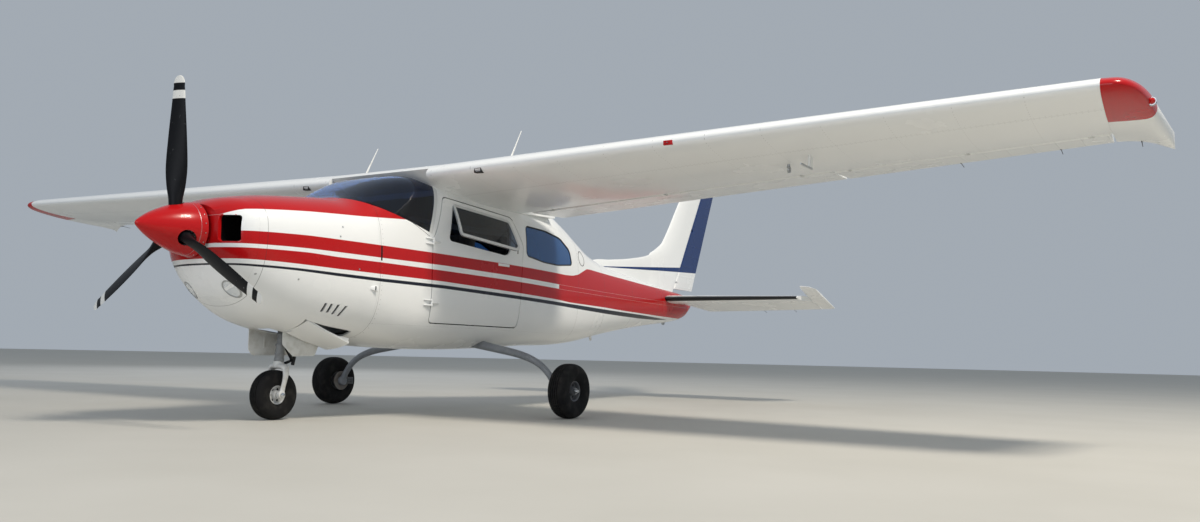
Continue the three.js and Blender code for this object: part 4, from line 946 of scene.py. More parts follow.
# Doors. One pressed skin on each side over a frame with a padded trim panel, hung at its front
# edge on two external hinges; a paddle handle and a lock are let in near its rear edge.
DOOR_HINGE_X, DOOR_HINGE_AFT, DOOR_HINGE_HEIGHTS = 0.592, 2.15, (0.9, 1.385)
BARREL = 0.008
door = skin("door_sheet_left", 2.1, 3.5, CABIN_WALL)
cut(door, plate(DOOR, (0.1, FAR), 0.034, 8), keep="INTERSECT")
cut(door, plate(DOOR_WINDOW, (0.1, FAR), 0.04, 8))
door.data.materials.append(body_paint)
lined(door, lining_cloth)
pair(door, None, "door", body="door")


def tube(name, start, end, radius, sides=24, edge=0.001):
    """A round bar between two points, its end edges broken."""
    along = end - start
    bpy.ops.object.select_all(action="DESELECT")
    bpy.ops.mesh.primitive_cylinder_add(vertices=sides, radius=radius, depth=along.length)
    piece = bpy.context.object
    piece.name = name
    turn = along.to_track_quat("Z", "Y").to_matrix().to_4x4()
    piece.data.transform(Matrix.Translation((start + end) / 2) @ turn)
    if edge:
        modified(piece, "BEVEL", width=edge, segments=2, limit_method="ANGLE")
    return piece


def soft_block(x, station, z, edge=0.003, segments=3):
    """A block with rounded edges."""
    piece = block(x, station, z)
    return modified(piece, "BEVEL", width=edge, segments=segments, limit_method="ANGLE")


def hinge_leaf(name, z, half, forward):
    """A barrel and the tapered strap that carries it, on the door or ahead of it."""
    barrel = tube(
        name, at(DOOR_HINGE_X, DOOR_HINGE_AFT, z - half),
        at(DOOR_HINGE_X, DOOR_HINGE_AFT, z + half), BARREL,
    )
    reach = -0.075 if forward else 0.1
    ends = sorted((DOOR_HINGE_AFT, DOOR_HINGE_AFT + reach))
    strap = block(
        (DOOR_HINGE_X - 0.02, DOOR_HINGE_X + 0.004), ends, (z - half * 0.8, z + half * 0.8),
    )
    far = DOOR_HINGE_AFT + reach
    for vertex in strap.data.vertices:
        if abs(vertex.co.y + HALF_LENGTH - far) < 0.001 and vertex.co.x > DOOR_HINGE_X:
            vertex.co.x = DOOR_HINGE_X - 0.013
            vertex.co.z = z + (vertex.co.z - z) * 0.5
    modified(strap, "BEVEL", width=0.003, segments=3)
    return joined(name, barrel, strap)


for z, level in zip(DOOR_HINGE_HEIGHTS, ("lower", "upper")):
    leaf = hinge_leaf(f"door_hinge_{level}_left", z, 0.0105, False)
    jamb = joined(
        f"door_jamb_hinge_{level}_left", hinge_leaf("jamb_low", z - 0.0205, 0.0092, True),
        hinge_leaf("jamb_top", z + 0.0205, 0.0092, True),
    )
    pair(leaf, roof_paint, body="door")
    pair(jamb, roof_paint)

# brushed aluminium: bright, with fine streaks about a millimetre apart
bare_metal = new_material("brushed_aluminium", "#b9bcbe", 0.34, 1.0)
place = node(bare_metal, "TexCoord")["Object"]
drawn = node(bare_metal, "Mapping", Vector=place, Scale=(30.0, 400.0, 30.0))["Vector"]
brush = node(bare_metal, "TexNoise", Vector=drawn, Scale=2.0)["Fac"]
dull = node(bare_metal, "MapRange", Value=brush, To_Min=0.24, To_Max=0.46)["Result"]
feed(bare_metal, dull, "Roughness")
color = node(
    bare_metal, "Mix RGBA", Factor=brush, A=linear("#a7aaad"), B=linear("#c6c9cb"),
)["Result"]
feed(bare_metal, color, "Base Color")
# matt paint: a soft dark sheen, a little uneven
matt_black = new_material("matt_black_paint", "#18191b", 0.55)
mottled(matt_black, "#101113", "#26282b", Scale=60.0, Detail=5.0)
for name, x, station, z, edge, segments, finish in (
    ("handle_tray", (0.5765, 0.5785), (2.985, 3.165), (1.255, 1.3), 0.0008, 2, body_paint),
    ("handle", (0.5765, 0.587), (2.998, 3.15), (1.266, 1.289), 0.004, 3, roof_paint),
    ("lock", (0.56, 0.5755), (3.275, 3.291), (1.393, 1.431), 0.0074, 4, matt_black),
    ("armrest", (0.512, 0.545), (2.72, 3.0), (1.16, 1.2), 0.012, 4, matt_black),
):
    piece = soft_block(x, station, z, edge, segments)
    piece.name = f"door_{name}_left"
    pair(piece, finish, body="door")

# Tail cone. Rolled aluminium skin in lapped, riveted bays from the cabin to the stabiliser,
# closed by a moulded cap; the elevator's tube passes through it.
CONE_WALL, TUBE_AFT, TUBE_Z = 0.016, 7.42, 1.218
cone = skin("tail_cone_sheet", CABIN_END, TAIL_END - JOINT, CONE_WALL)
cut(cone, tube("tube_hole", at(-0.3, TUBE_AFT, TUBE_Z), at(0.3, TUBE_AFT, TUBE_Z), 0.028, edge=0))
done(cone, body_paint, "tail_cone")
cap_piece = skin("tail_cap_moulding", TAIL_END, 7.78)
modified(cap_piece, "BEVEL", width=0.008, segments=3, limit_method="ANGLE", angle_limit=1.2)
done(cap_piece, body_paint, "tail_cap")

# Wings. Riveted aluminium skins on two spars, bolted to the roof box, with a rounded leading
# edge; the open rear wall carries the hinges of the flap and the aileron.
FLAP_HINGE, AILERON_HINGE = 0.735, 0.765
SPLIT_X = 3.463  # where the flap ends and the aileron starts
SURFACE_CLEAR = 0.008
HINGE_PIN, HINGE_ARM, HINGE_NOTCH = 0.007, 0.018, 0.032


def nose_at(x, share):
    """The hinge point and nose radius of a flap or aileron at one X."""
    edge = wing_edge(x)
    top, low = foil_point(edge, share, 1), foil_point(edge, share, -1)
    return (top + low) / 2, (top.z - low.z) / 2, edge


def cut_before(x, share):
    _, radius, edge = nose_at(x, share)
    return share - (radius + SURFACE_CLEAR) / (edge["trail"] - edge["lead"])


inner_xs = [ROOF_SIDE + JOINT, WING_ROOT["x"]] + [
    0.575 + (SPLIT_X - 0.576) * i / 14 for i in range(1, 15)
]
outer_xs = [SPLIT_X + 0.001 + (WING_END["x"] - SPLIT_X - 0.001) * i / 9 for i in range(10)]
edges = [wing_edge(max(x, WING_ROOT["x"])) | {"x": x} for x in inner_xs + outer_xs]
ends = [cut_before(max(x, 0.575), FLAP_HINGE) for x in inner_xs]
ends += [cut_before(x, AILERON_HINGE) for x in outer_xs]
wing = foil_solid("wing_skin_left", edges, ends)
cut(wing, skin("body_cut", 1.7, 4.7, inset=-JOINT))
wing = largest(wing)
fittings = []
for first, last, hinge, shares in (
    (0.625, 3.452, FLAP_HINGE, (0.08, 0.5, 0.92)),
    (3.474, 5.266, AILERON_HINGE, (0.06, 0.52, 0.94)),
):
    start, inner_radius, _ = nose_at(first, hinge)
    end, outer_radius, _ = nose_at(last, hinge)
    radius = max(inner_radius, outer_radius)
    for share in shares:
        spot = start.lerp(end, share)
        half = (end - start).normalized() * (HINGE_NOTCH / 2 - JOINT)
        fittings.append(tube("pin", spot - half, spot + half, HINGE_PIN, 16))
        tall = min(0.024, 1.2 * radius) / 2
        aft = spot.y + HALF_LENGTH
        fittings.append(soft_block(
            (spot.x - HINGE_ARM / 2, spot.x + HINGE_ARM / 2),
            (aft - radius - SURFACE_CLEAR - 0.01, aft), (spot.z - tall, spot.z + tall), 0.002,
        ))
brackets = joined("wing_hinges_left", *fittings)
# rivets of 4 mm stand every 32 mm along each rib and both sides of the spars, and the sheets
# lap at the front spar
RIB_PITCH, RIVET_PITCH = 0.392, 0.032
wing_paint = enamel("sprayed_enamel_wing")
x, aft, _ = axes(wing_paint)
x = node(wing_paint, "Math ABSOLUTE", x)[0]
color = weathered(wing_paint, linear(WHITE))
rib = node(wing_paint, "Math FLOORED_MODULO", x, RIB_PITCH)[0]
heads = studs(wing_paint, rib, RIB_PITCH / 2, aft, RIVET_PITCH)
for slope, line in ((0.01836, 2.5216), (0.08544, 3.4201)):
    spar = node(wing_paint, "Math ADD", aft, node(wing_paint, "Math MULTIPLY", x, slope)[0])[0]
    for shift in (-0.014, 0.014):
        heads = node(
            wing_paint, "Math MAXIMUM", heads,
            studs(wing_paint, spar, line + shift, x, RIVET_PITCH),
        )[0]
    if slope < 0.05:
        lap = node(wing_paint, "Math MULTIPLY", seam(wing_paint, spar, line, 0.001), 0.5)[0]
        color = node(wing_paint, "Mix RGBA", Factor=lap, A=color, B=linear("#3a3a38"))["Result"]
heads = node(wing_paint, "Math MULTIPLY", heads, 0.45)[0]
color = node(wing_paint, "Mix RGBA", Factor=heads, A=color, B=linear("#66645f"))["Result"]
feed(wing_paint, color, "Base Color")
tiedown = tube("wing_tiedown_left", at(3.293, 2.73, 1.835), at(3.307, 2.73, 1.835), 0.0245)
cut(tiedown, tube("eye", at(3.28, 2.73, 1.833), at(3.32, 2.73, 1.833), 0.0125, edge=0))
stem = soft_block((3.293, 3.307), (2.718, 2.742), (1.85, 1.905), 0.002)
tiedown = joined("wing_tiedown_left", tiedown, stem)
pair(wing, wing_paint, "wing")
pair(brackets, bare_metal)
pair(tiedown, bare_metal)

# Wing tips. Moulded fibreglass tips, red on their forward half and white behind. They curve down,
# and their edge runs aft and out to a sharp corner; a position light sits in it.
# X, leading edge, trailing edge, drop, share of the usual thickness
TIP = (
    (5.2806, 2.158, 3.317, 0.0, 1.0), (5.38, 2.168, 3.321, 0.005, 0.97),
    (5.45, 2.25, 3.329, 0.016, 0.9), (5.5, 2.42, 3.337, 0.03, 0.86),
    (5.535, 2.7, 3.346, 0.044, 0.88), (5.57, 3.0, 3.355, 0.057, 0.9),
    (5.6, 3.26, 3.365, 0.068, 0.8),
)
TIP_SPLIT = 2.67  # station where the red ends
TIP_ROWS = 48
tip_rows = [
    smooth_row(TIP, 5.6 - (5.6 - 5.2806) * (1 - i / TIP_ROWS) ** 1.6) for i in range(TIP_ROWS + 1)
]
tip = foil_solid(
    "wing_tip_moulding_left",
    [{
        "x": x, "lead": lead, "trail": trail, "lead_z": WING_END["lead_z"] - drop,
        "trail_z": WING_END["trail_z"] - drop,
    } for x, lead, trail, drop, _ in tip_rows],
    [0.995] * len(tip_rows), [row[4] for row in tip_rows],
)
tip_paint = enamel("sprayed_enamel_tip")
_, aft, _ = axes(tip_paint)
color = node(
    tip_paint, "Mix RGBA", Factor=over(tip_paint, aft, TIP_SPLIT), A=linear(RED), B=linear(WHITE),
)["Result"]
feed(tip_paint, weathered(tip_paint, color), "Base Color")
pair(tip, tip_paint, "wing_tip")

# Propeller. Three forged aluminium blades, painted satin black with white and black bands at the
# tips, in a steel hub on the engine's shaft. Their leading edges are worn towards the metal.
HUB_Z, PROP_AFT, PROP_RADIUS, FIRST_BLADE = 1.294, 0.282, 1.016, -1.0
# distance from the axis, chord, thickness, pitch in degrees
BLADE = (
    (0.09, 0.084, 0.084, 50), (0.185, 0.088, 0.07, 48), (0.27, 0.118, 0.044, 42),
    (0.4, 0.142, 0.03, 34), (0.6, 0.13, 0.022, 27), (0.8, 0.104, 0.015, 22),
    (0.97, 0.075, 0.009, 19), (1.016, 0.034, 0.006, 18),
)
BANDS = (0.966, 0.916, 0.861)  # inner ends of the white, black and white tip bands


def round_blade(along, around):
    radius = BLADE[0][0] + (PROP_RADIUS - BLADE[0][0]) * (1 - (1 - along) ** 1.6)
    _, chord, thick, pitch = smooth_row(BLADE, radius)
    if radius > 0.95:
        share = (radius - 0.95) / (PROP_RADIUS - 0.95)
        chord = 0.079 * math.sqrt(max(0.0, 1 - share**2.4)) + 0.006
    turn, lean = -2 * math.pi * around, math.radians(pitch)
    flat = min(1.0, max(0.0, (radius - 0.2) / 0.15))
    across = chord / 2 * math.cos(turn)
    deep = thick / 2 * math.sin(turn)
    if deep > 0:
        deep *= 1 - 0.45 * flat
    else:
        deep *= 1 + 0.1 * flat * math.cos(turn)
    deep *= 1 - 0.35 * flat * max(0.0, -math.cos(turn)) ** 2
    return at(
        across * math.cos(lean) - deep * math.sin(lean),
        PROP_AFT + across * math.sin(lean) + deep * math.cos(lean), HUB_Z + radius,
    )


def radius_of(material, u, v):
    """How far a point lies from an axis, from its two coordinates across it."""
    u, v = node(material, "Math MULTIPLY", u, u)[0], node(material, "Math MULTIPLY", v, v)[0]
    return node(material, "Math SQRT", node(material, "Math ADD", u, v)[0])[0]


blade_paint = new_material("satin_black_blade_paint", "#101114", 0.42, Specular_IOR_Level=0.12)
place = node(blade_paint, "TexCoord")["Object"]
parts = node(blade_paint, "SeparateXYZ", Vector=place)
up = node(blade_paint, "Math SUBTRACT", parts["Z"], HUB_Z)[0]
reach = radius_of(blade_paint, parts["X"], up)
chips = node(blade_paint, "TexNoise", Vector=place, Scale=45.0, Detail=6.0, Roughness=0.7)["Fac"]
color = node(
    blade_paint, "Mix RGBA", Factor=chips, A=linear("#090a0d"), B=linear("#15171b"),
)["Result"]
outer, middle, inner = [over(blade_paint, reach, band) for band in BANDS]
white = node(blade_paint, "Math SUBTRACT", inner, middle)[0]
white = node(blade_paint, "Math ADD", outer, white)[0]
color = node(blade_paint, "Mix RGBA", Factor=white, A=color, B=linear("#e4e4e0"))["Result"]
nicked = over(blade_paint, chips, 0.69)
color = node(blade_paint, "Mix RGBA", Factor=nicked, A=color, B=linear("#8c8e90"))["Result"]
feed(blade_paint, color, "Base Color")

blades = []
for count in range(3):
    piece = surface("blade", 36, 60, round_blade)
    edited(piece, weld, cap, outwards)
    turned(piece, at(0, 0, HUB_Z), Vector((0, 1, 0)), math.radians(FIRST_BLADE + 120 * count))
    blades.append(piece)
hub = tube("hub", at(0, PROP_AFT - 0.075, HUB_Z), at(0, PROP_AFT + 0.075, HUB_Z), 0.105, 48, 0.006)
shaft = tube("shaft", at(0, PROP_AFT, HUB_Z), at(0, 0.6646, HUB_Z), 0.06, 40)
done(joined("propeller_blades", *blades), blade_paint, "propeller", body="propeller")
done(joined("propeller_hub", hub, shaft), bare_metal, body="propeller")

# Spinner. A spun aluminium cone, sprayed red, screwed to a back plate; its three openings fit
# round the blade shanks.
SPINNER = (
    (0.0, 0.0, 0.003), (0.1095, 0.012, 0.019), (0.2, 0.04, 0.042), (0.3, 0.09, 0.076),
    (0.3873, 0.15, 0.108), (0.469, 0.22, 0.139), (0.5477, 0.3, 0.166), (0.6364, 0.405, 0.186),
)
SPINNER_BASE, SPINNER_RADIUS, SPINNER_WALL = 0.405, 0.186, 0.006
BACK_PLATE = (0.3574, 0.364)


def lathe(name, axis_point, profile, steps=64, along_x=False):
    """A closed ring or disc: distance along the axis and radius, turned round it."""
    def spot(along, around):
        row = min(int(along * (len(profile) - 1) + 0.5), len(profile) - 1)
        run, radius = profile[row]
        turn = 2 * math.pi * around * (-1 if along_x else 1)
        u, v = radius * math.cos(turn), radius * math.sin(turn)
        return axis_point + (Vector((run, u, v)) if along_x else Vector((-u, run, v)))

    piece = surface(name, steps, len(profile) - 1, spot)
    return edited(piece, weld, cap, outwards)


def spinner_row(share, sink):
    row = smooth_row(SPINNER, share * SPINNER[-1][0])
    return row[1] + sink * 1.6 * (1 - share), max(row[2] - sink, 0.0002)


front = at(0, 0, HUB_Z)
spinner = lathe("spinner_shell", front, [spinner_row(i / 44, 0.0) for i in range(45)], 96)
hollow = [spinner_row(0.08 + 0.92 * i / 40, SPINNER_WALL) for i in range(41)]
cut(spinner, lathe("hollow", front, hollow + [(SPINNER_BASE + 0.02, hollow[-1][1])], 96))
for count in range(3):
    hole = tube(
        "shank_hole", at(0, PROP_AFT, HUB_Z + 0.1), at(0, PROP_AFT, HUB_Z + 0.26), 0.056, 40, 0,
    )
    turned(hole, at(0, 0, HUB_Z), Vector((0, 1, 0)), math.radians(FIRST_BLADE + 120 * count))
    cut(spinner, hole)
spinner_paint = enamel("sprayed_enamel_spinner", 0.26, RED)
plate_disc = tube(
    "spinner_back_plate", at(0, BACK_PLATE[0], HUB_Z), at(0, BACK_PLATE[1], HUB_Z),
    SPINNER_RADIUS - 0.008, 96,
)
cut(plate_disc, tube("bore", at(0, 0.3, HUB_Z), at(0, 0.4, HUB_Z), 0.0604, 40, 0))
screws = []
for count in range(18):
    turn = 2 * math.pi * (count + 0.5) / 18
    out = Vector((math.cos(turn), 0, math.sin(turn)))
    foot = at(0, 0.388, HUB_Z) + out * (0.1815 + 0.0015)
    screws.append(tube("screw", foot, foot + out * 0.0022, 0.0045, 12, 0.0006))
done(spinner, spinner_paint, "spinner", body="propeller")
done(plate_disc, bare_metal, body="propeller")
done(joined("spinner_screws", *screws), bare_metal, body="propeller")

# Engine. Six air-cooled cylinders with close fins on a cast aluminium crankcase and sump, held
# by a mount of welded tubes that is bolted to the firewall. It shows through the openings.
ENGINE_START, ENGINE_END = 0.665, 1.48
CYLINDERS = (0.775, 0.985, 1.195)
BARREL_RADIUS, FIN_RADIUS, FIN_PITCH, FIN_THICK = 0.052, 0.074, 0.0085, 0.0035
cast_metal = new_material("grey_cast_aluminium", "#6f7173", 0.55, 0.85)
# sand cast: a dull grey skin with a grit of about 3 mm
grit = mottled(cast_metal, "#4e4f50", "#838587", Scale=320.0, Detail=4.0)
bump = node(cast_metal, "Bump", Height=grit, Strength=0.3, Distance=0.0006)["Normal"]
feed(cast_metal, bump, "Normal")
case = soft_block((-0.12, 0.12), (ENGINE_START, ENGINE_END), (1.1, 1.4), 0.03, 4)
sump = soft_block((-0.16, 0.16), (0.9, 1.4), (1.035, 1.13), 0.03, 4)
castings = [case, sump]
for side in (1, -1):
    for station in CYLINDERS:
        fins = []
        for count in range(27):
            run = side * (0.11 + FIN_PITCH * count)
            far = run + side * FIN_THICK
            fins += [(run, BARREL_RADIUS), (run, FIN_RADIUS), (far, FIN_RADIUS)]
            fins.append((far, BARREL_RADIUS))
        barrel = lathe("cylinder", at(0, station, 1.23), fins, 40, along_x=True)
        head = soft_block(
            sorted((side * 0.335, side * 0.388)), (station - 0.085, station + 0.085), (1.16, 1.3),
            0.018, 3,
        )
        castings += [barrel, head]
done(joined("engine_castings", *castings), cast_metal, "engine_block")
mount_tubes = []
for side in (1, -1):
    for near, far in ((1.372, 1.412), (1.09, 0.95)):
        mount_tubes.append(tube(
            "mount", at(side * 0.3, 1.46, near), at(side * 0.33, 1.5896, far), 0.018,
        ))
done(joined("engine_mount_tubes", *mount_tubes), matt_black)

# Fin and rudder. Sheet over ribs on two spars, with a long fillet ahead of it on the tail cone;
# the rudder hangs on three hinges, and its sheet has pressed beads that keep it stiff.
RUDDER_FOOT, FIN_TOP = 1.372, 2.95
# height, station of the leading edge, half thickness
FIN = (
    (1.29, 6.56, 0.046), (1.745, 6.7, 0.044), (1.83, 6.87, 0.042), (1.93, 7.035, 0.04),
    (2.44, 7.43, 0.033), (2.92, 7.8, 0.024), (2.95, 7.838, 0.018),
)
FILLET = (
    (5.25, 1.43), (5.4, 1.552), (5.8, 1.6), (6.25, 1.655), (6.7, 1.742), (6.96, 1.85),
)


def rudder_hinge(z):
    return 7.338 + (z - RUDDER_FOOT) * 0.6


def rudder_nose(z):
    return 0.034 - (z - RUDDER_FOOT) / (FIN_TOP - RUDDER_FOOT) * 0.014


def nose_curve(share):
    """Share of the thickness at a share of the way from the nose to the thickest part."""
    return math.sqrt(max(0.0, 1 - (1 - min(share, 1.0)) ** 2))


def fin_point(along, around):
    z = FIN[0][0] + (FIN_TOP - FIN[0][0]) * along
    _, lead, half = smooth_row(FIN, z)
    rear = rudder_hinge(z) - rudder_nose(z) - 0.016
    t = 1 - 2 * min(around / 0.92, 1.0)
    share = t * t
    deep = nose_curve(share / 0.5) - 0.14 * max(0.0, share - 0.5) / 0.5
    if around > 0.92:
        x = -half * 0.86 * (1 - 2 * (around - 0.92) / 0.08)
    else:
        x = math.copysign(half * deep, t)
    return at(x, lead + share * (rear - lead), z)


fin = edited(surface("fin_sheet", 50, 48, fin_point), weld, cap, outwards)
modified(fin, "BEVEL", width=0.005, segments=3, limit_method="ANGLE", angle_limit=1.2)


def fillet_point(along, around):
    station = 5.252 + (6.95 - 5.252) * along
    top = smooth_row(FILLET, station)[1]
    foot = body_point(station, math.pi / 2).z - 0.05
    half = 0.017 + 0.014 * along
    turn = math.pi * around
    x = half * math.copysign(abs(math.cos(turn)) ** 0.45, math.cos(turn))
    return at(x, station, foot + (top - foot) * math.sin(turn) ** 0.75)


fillet = edited(surface("fillet", 24, 60, fillet_point), weld, cap, outwards)
cut(fin, fillet, keep="UNION")
cut(fin, skin("body_cut", 5.0, 7.78, inset=-JOINT))
fin_paint = enamel("sprayed_enamel_fin")
_, aft, z = axes(fin_paint)
# height of the navy line's edges: one spot and the slope aft of it
LINE_START, LINE_START_Z, LINE_TOP_SLOPE, LINE_LOW_SLOPE = 5.308, 1.484, 0.0772, 0.0502
run = node(fin_paint, "Math SUBTRACT", aft, LINE_START)[0]
line_top = node(fin_paint, "Math MULTIPLY_ADD", run, LINE_TOP_SLOPE, LINE_START_Z)[0]
line_low = node(fin_paint, "Math MULTIPLY_ADD", run, LINE_LOW_SLOPE, LINE_START_Z)[0]
line = all_of(fin_paint, over(fin_paint, line_top, z), over(fin_paint, z, line_low))
BLUE = "#032d68"
fin_color = node(fin_paint, "Mix RGBA", Factor=line, A=linear(WHITE), B=linear(BLUE))["Result"]
feed(fin_paint, weathered(fin_paint, fin_color), "Base Color")
done(fin, fin_paint, "fin")


def beaded(name, along, pitch):
    """Enamel on thin sheet with pressed stiffening beads, 12 mm wide, at an even pitch."""
    material = enamel(name, 0.26)
    wave = node(material, "Math PINGPONG", axes(material)["XYZ".index(along)], pitch / 2)[0]
    bead = node(
        material, "MapRange", Value=wave, From_Min=0.006, From_Max=0.0, To_Min=0.0, To_Max=1.0,
        interpolation_type="SMOOTHSTEP",
    )["Result"]
    peel = material.node_tree.nodes["Principled BSDF"].inputs["Normal"].links[0].from_socket
    bump = node(material, "Bump", Height=bead, Strength=0.55, Distance=0.003, Normal=peel)["Normal"]
    feed(material, bump, "Normal")
    return material


rudder_paint = beaded("sprayed_enamel_rudder", "Z", 0.14)
_, aft, z = axes(rudder_paint)
run = node(rudder_paint, "Math SUBTRACT", aft, LINE_START)[0]
foot_line = node(rudder_paint, "Math MULTIPLY_ADD", run, LINE_LOW_SLOPE, LINE_START_Z)[0]
rudder_color = node(
    rudder_paint, "Mix RGBA", Factor=over(rudder_paint, z, foot_line), A=linear(WHITE),
    B=linear(BLUE),
)["Result"]
feed(rudder_paint, weathered(rudder_paint, rudder_color), "Base Color")


def painted(paint, *names):
    """Gives a material to CAD nodes whose form is the real one's."""
    for name in names:
        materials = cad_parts[name].data.materials
        materials.clear()
        materials.append(paint)


painted(rudder_paint, "rudder")

# Stabiliser. Two halves of enamelled sheet fixed to the tail cone, with black rubber boots along
# their leading edges that shed ice; two hinges on each carry the elevator.
HINGE_AFT, HINGE_Z, SPAN = 7.42, 1.218, 1.818
# X, station of the leading edge, thickness
STAB = ((0.06, 6.835, 0.096), (0.7, 6.862, 0.084), (1.818, 6.91, 0.058))
THICKEST = 0.23  # aft of the leading edge


def stab_point(along, around):
    x = STAB[0][0] + (SPAN - STAB[0][0]) * along
    _, lead, thick = smooth_row(STAB, x)
    rear = HINGE_AFT - 0.052
    t = 1 - 2 * min(around / 0.92, 1.0)
    run = t * t * (rear - lead)
    rise = thick / 2 * nose_curve(run / THICKEST)
    rise -= 0.006 * max(0.0, run - THICKEST) / (rear - lead - THICKEST)
    if around > 0.92:
        spot = -(thick / 2 - 0.006) * (1 - 2 * (around - 0.92) / 0.08)
    else:
        spot = math.copysign(rise, t)
    return at(x, lead + run, HINGE_Z + spot)


stab = edited(surface("stabiliser_sheet_left", 50, 40, stab_point), weld, cap, outwards)
cut(stab, skin("body_cut", 6.7, 7.6, inset=-JOINT))
tail_fittings = []
for share in (0.25, 0.85):
    x = 0.14 + share * 1.66
    ends = at(x - 0.0156, HINGE_AFT, HINGE_Z), at(x + 0.0156, HINGE_AFT, HINGE_Z)
    tail_fittings.append(tube("pin", *ends, HINGE_PIN, 16))
    tail_fittings.append(soft_block(
        (x - HINGE_ARM / 2, x + HINGE_ARM / 2), (HINGE_AFT - 0.07, HINGE_AFT),
        (HINGE_Z - 0.012, HINGE_Z + 0.012), 0.002,
    ))
stab_hinges = joined("stabiliser_hinges_left", *tail_fittings)
BOOT_START, BOOT_END, BOOT_DEEP = 0.15, 1.8, 0.052
LEAD_AFT, LEAD_SLOPE = 6.8324, 0.0427  # the leading edge at the middle, and how it sweeps
stab_paint = enamel("sprayed_enamel_stabiliser")
x, aft, z = axes(stab_paint)
x = node(stab_paint, "Math ABSOLUTE", x)[0]
edge = node(stab_paint, "Math MULTIPLY_ADD", x, LEAD_SLOPE, LEAD_AFT + BOOT_DEEP)[0]
boot = all_of(
    stab_paint, over(stab_paint, edge, aft), over(stab_paint, x, BOOT_START),
    over(stab_paint, BOOT_END, x),
)
# the boot's rubber is black and duller than the enamel
stab_color = node(
    stab_paint, "Mix RGBA", Factor=boot, A=weathered(stab_paint, linear(WHITE)),
    B=linear("#141416"),
)["Result"]
feed(stab_paint, stab_color, "Base Color")
gloss = stab_paint.node_tree.nodes["Principled BSDF"].inputs["Roughness"].links[0].from_socket
dull = node(stab_paint, "Mix", Factor=boot, A=gloss, B=0.5)["Result"]
feed(stab_paint, dull, "Roughness")
pair(stab, stab_paint, "stabiliser")
pair(stab_hinges, bare_metal)

# Elevator, flaps and ailerons. Beaded sheet with a round nose; the elevator's two halves are
# joined by a tube through the tail cone and carry a horn each that balances them. Their solids
# already have the real form, so they keep it and take the enamel.
surface_paint = beaded("sprayed_enamel_moving_surfaces", "X", 0.15)
feed(surface_paint, weathered(surface_paint, linear(WHITE)), "Base Color")
painted(surface_paint, "elevator", "flap_left", "flap_right", "aileron_left", "aileron_right")

# Main landing gear. Two tapered tubes of spring steel curve out of the belly, painted grey; each
# ends in a stub axle with a disc brake, and carries a split aluminium wheel with a ribbed tyre.
MAIN_AFT, MAIN_X, MAIN_RADIUS, MAIN_HALF, MAIN_BEAD = 2.98, 1.35, 0.222, 0.08, 0.08
# share of the way along the leg, X, height, radius
LEG = (
    (0.0, 0.33, 0.6, 0.04), (0.26, 0.62, 0.55, 0.034), (0.44, 0.82, 0.514, 0.032),
    (0.57, 0.96, 0.474, 0.03), (0.67, 1.06, 0.426, 0.028), (0.77, 1.14, 0.36, 0.027),
    (1.0, 1.222, 0.25, 0.026),
)


def bent_tube(name, rows, aft_rows, steps=40, sides=24, flat=1.0):
    """A round or flattened tube through rows of share, X, height and radius."""
    def spot(along, around):
        share = rows[0][0] + (rows[-1][0] - rows[0][0]) * along
        _, x, z, radius = smooth_row(rows, share)
        _, x_next, z_next, _ = smooth_row(rows, min(share + 0.01, rows[-1][0]))
        _, x_last, z_last, _ = smooth_row(rows, max(share - 0.01, rows[0][0]))
        run = Vector((x_next - x_last, z_next - z_last)).normalized()
        turn = 2 * math.pi * around
        out = radius * math.cos(turn)
        aft = smooth_row(aft_rows, share)[1] + radius * flat * math.sin(turn)
        return at(x - run.y * out, aft, z + run.x * out)

    return edited(surface(name, sides, steps, spot), weld, cap, outwards)


def ring(name, centre, corners, bevel=0.0015, steps=72):
    """A solid ring about an axis along X, its edges broken."""
    piece = lathe(name, centre, list(corners) + [corners[0]], steps, along_x=True)
    if bevel:
        modified(piece, "BEVEL", width=bevel, segments=2, limit_method="ANGLE", angle_limit=0.6)
    return piece


def tyre(name, centre, radius, half, bead):
    """A moulded tyre: rounded section, beads inside the rim's flanges, four grooves."""
    middle = (radius + bead) / 2 + 0.008
    profile = []
    for count in range(57):
        turn = math.pi * count / 56
        run = -half * math.copysign(abs(math.cos(turn)) ** 0.72, math.cos(turn))
        profile.append((run, middle + (radius - middle) * math.sin(turn) ** 0.62))
    for count in range(1, 13):
        turn = math.pi / 2 * count / 12
        run = half * (0.62 + 0.38 * math.cos(turn))
        profile.append((run, middle - (middle - bead - 0.001) * math.sin(turn)))
    for count in range(13):
        turn = math.pi / 2 * (1 - count / 12)
        run = -half * (0.62 + 0.38 * math.cos(turn))
        profile.append((run, middle - (middle - bead - 0.001) * math.sin(turn)))
    piece = lathe(name, centre, profile, 96, along_x=True)
    for share in (-0.36, -0.12, 0.12, 0.36):
        low, high = half * share - 0.003, half * share + 0.003
        deep = radius - 0.006 - 0.012 * abs(share)
        cut(piece, ring(
            "groove", centre,
            ((low, deep), (low, radius + 0.02), (high, radius + 0.02), (high, deep)), 0.0, 96,
        ))
    return piece


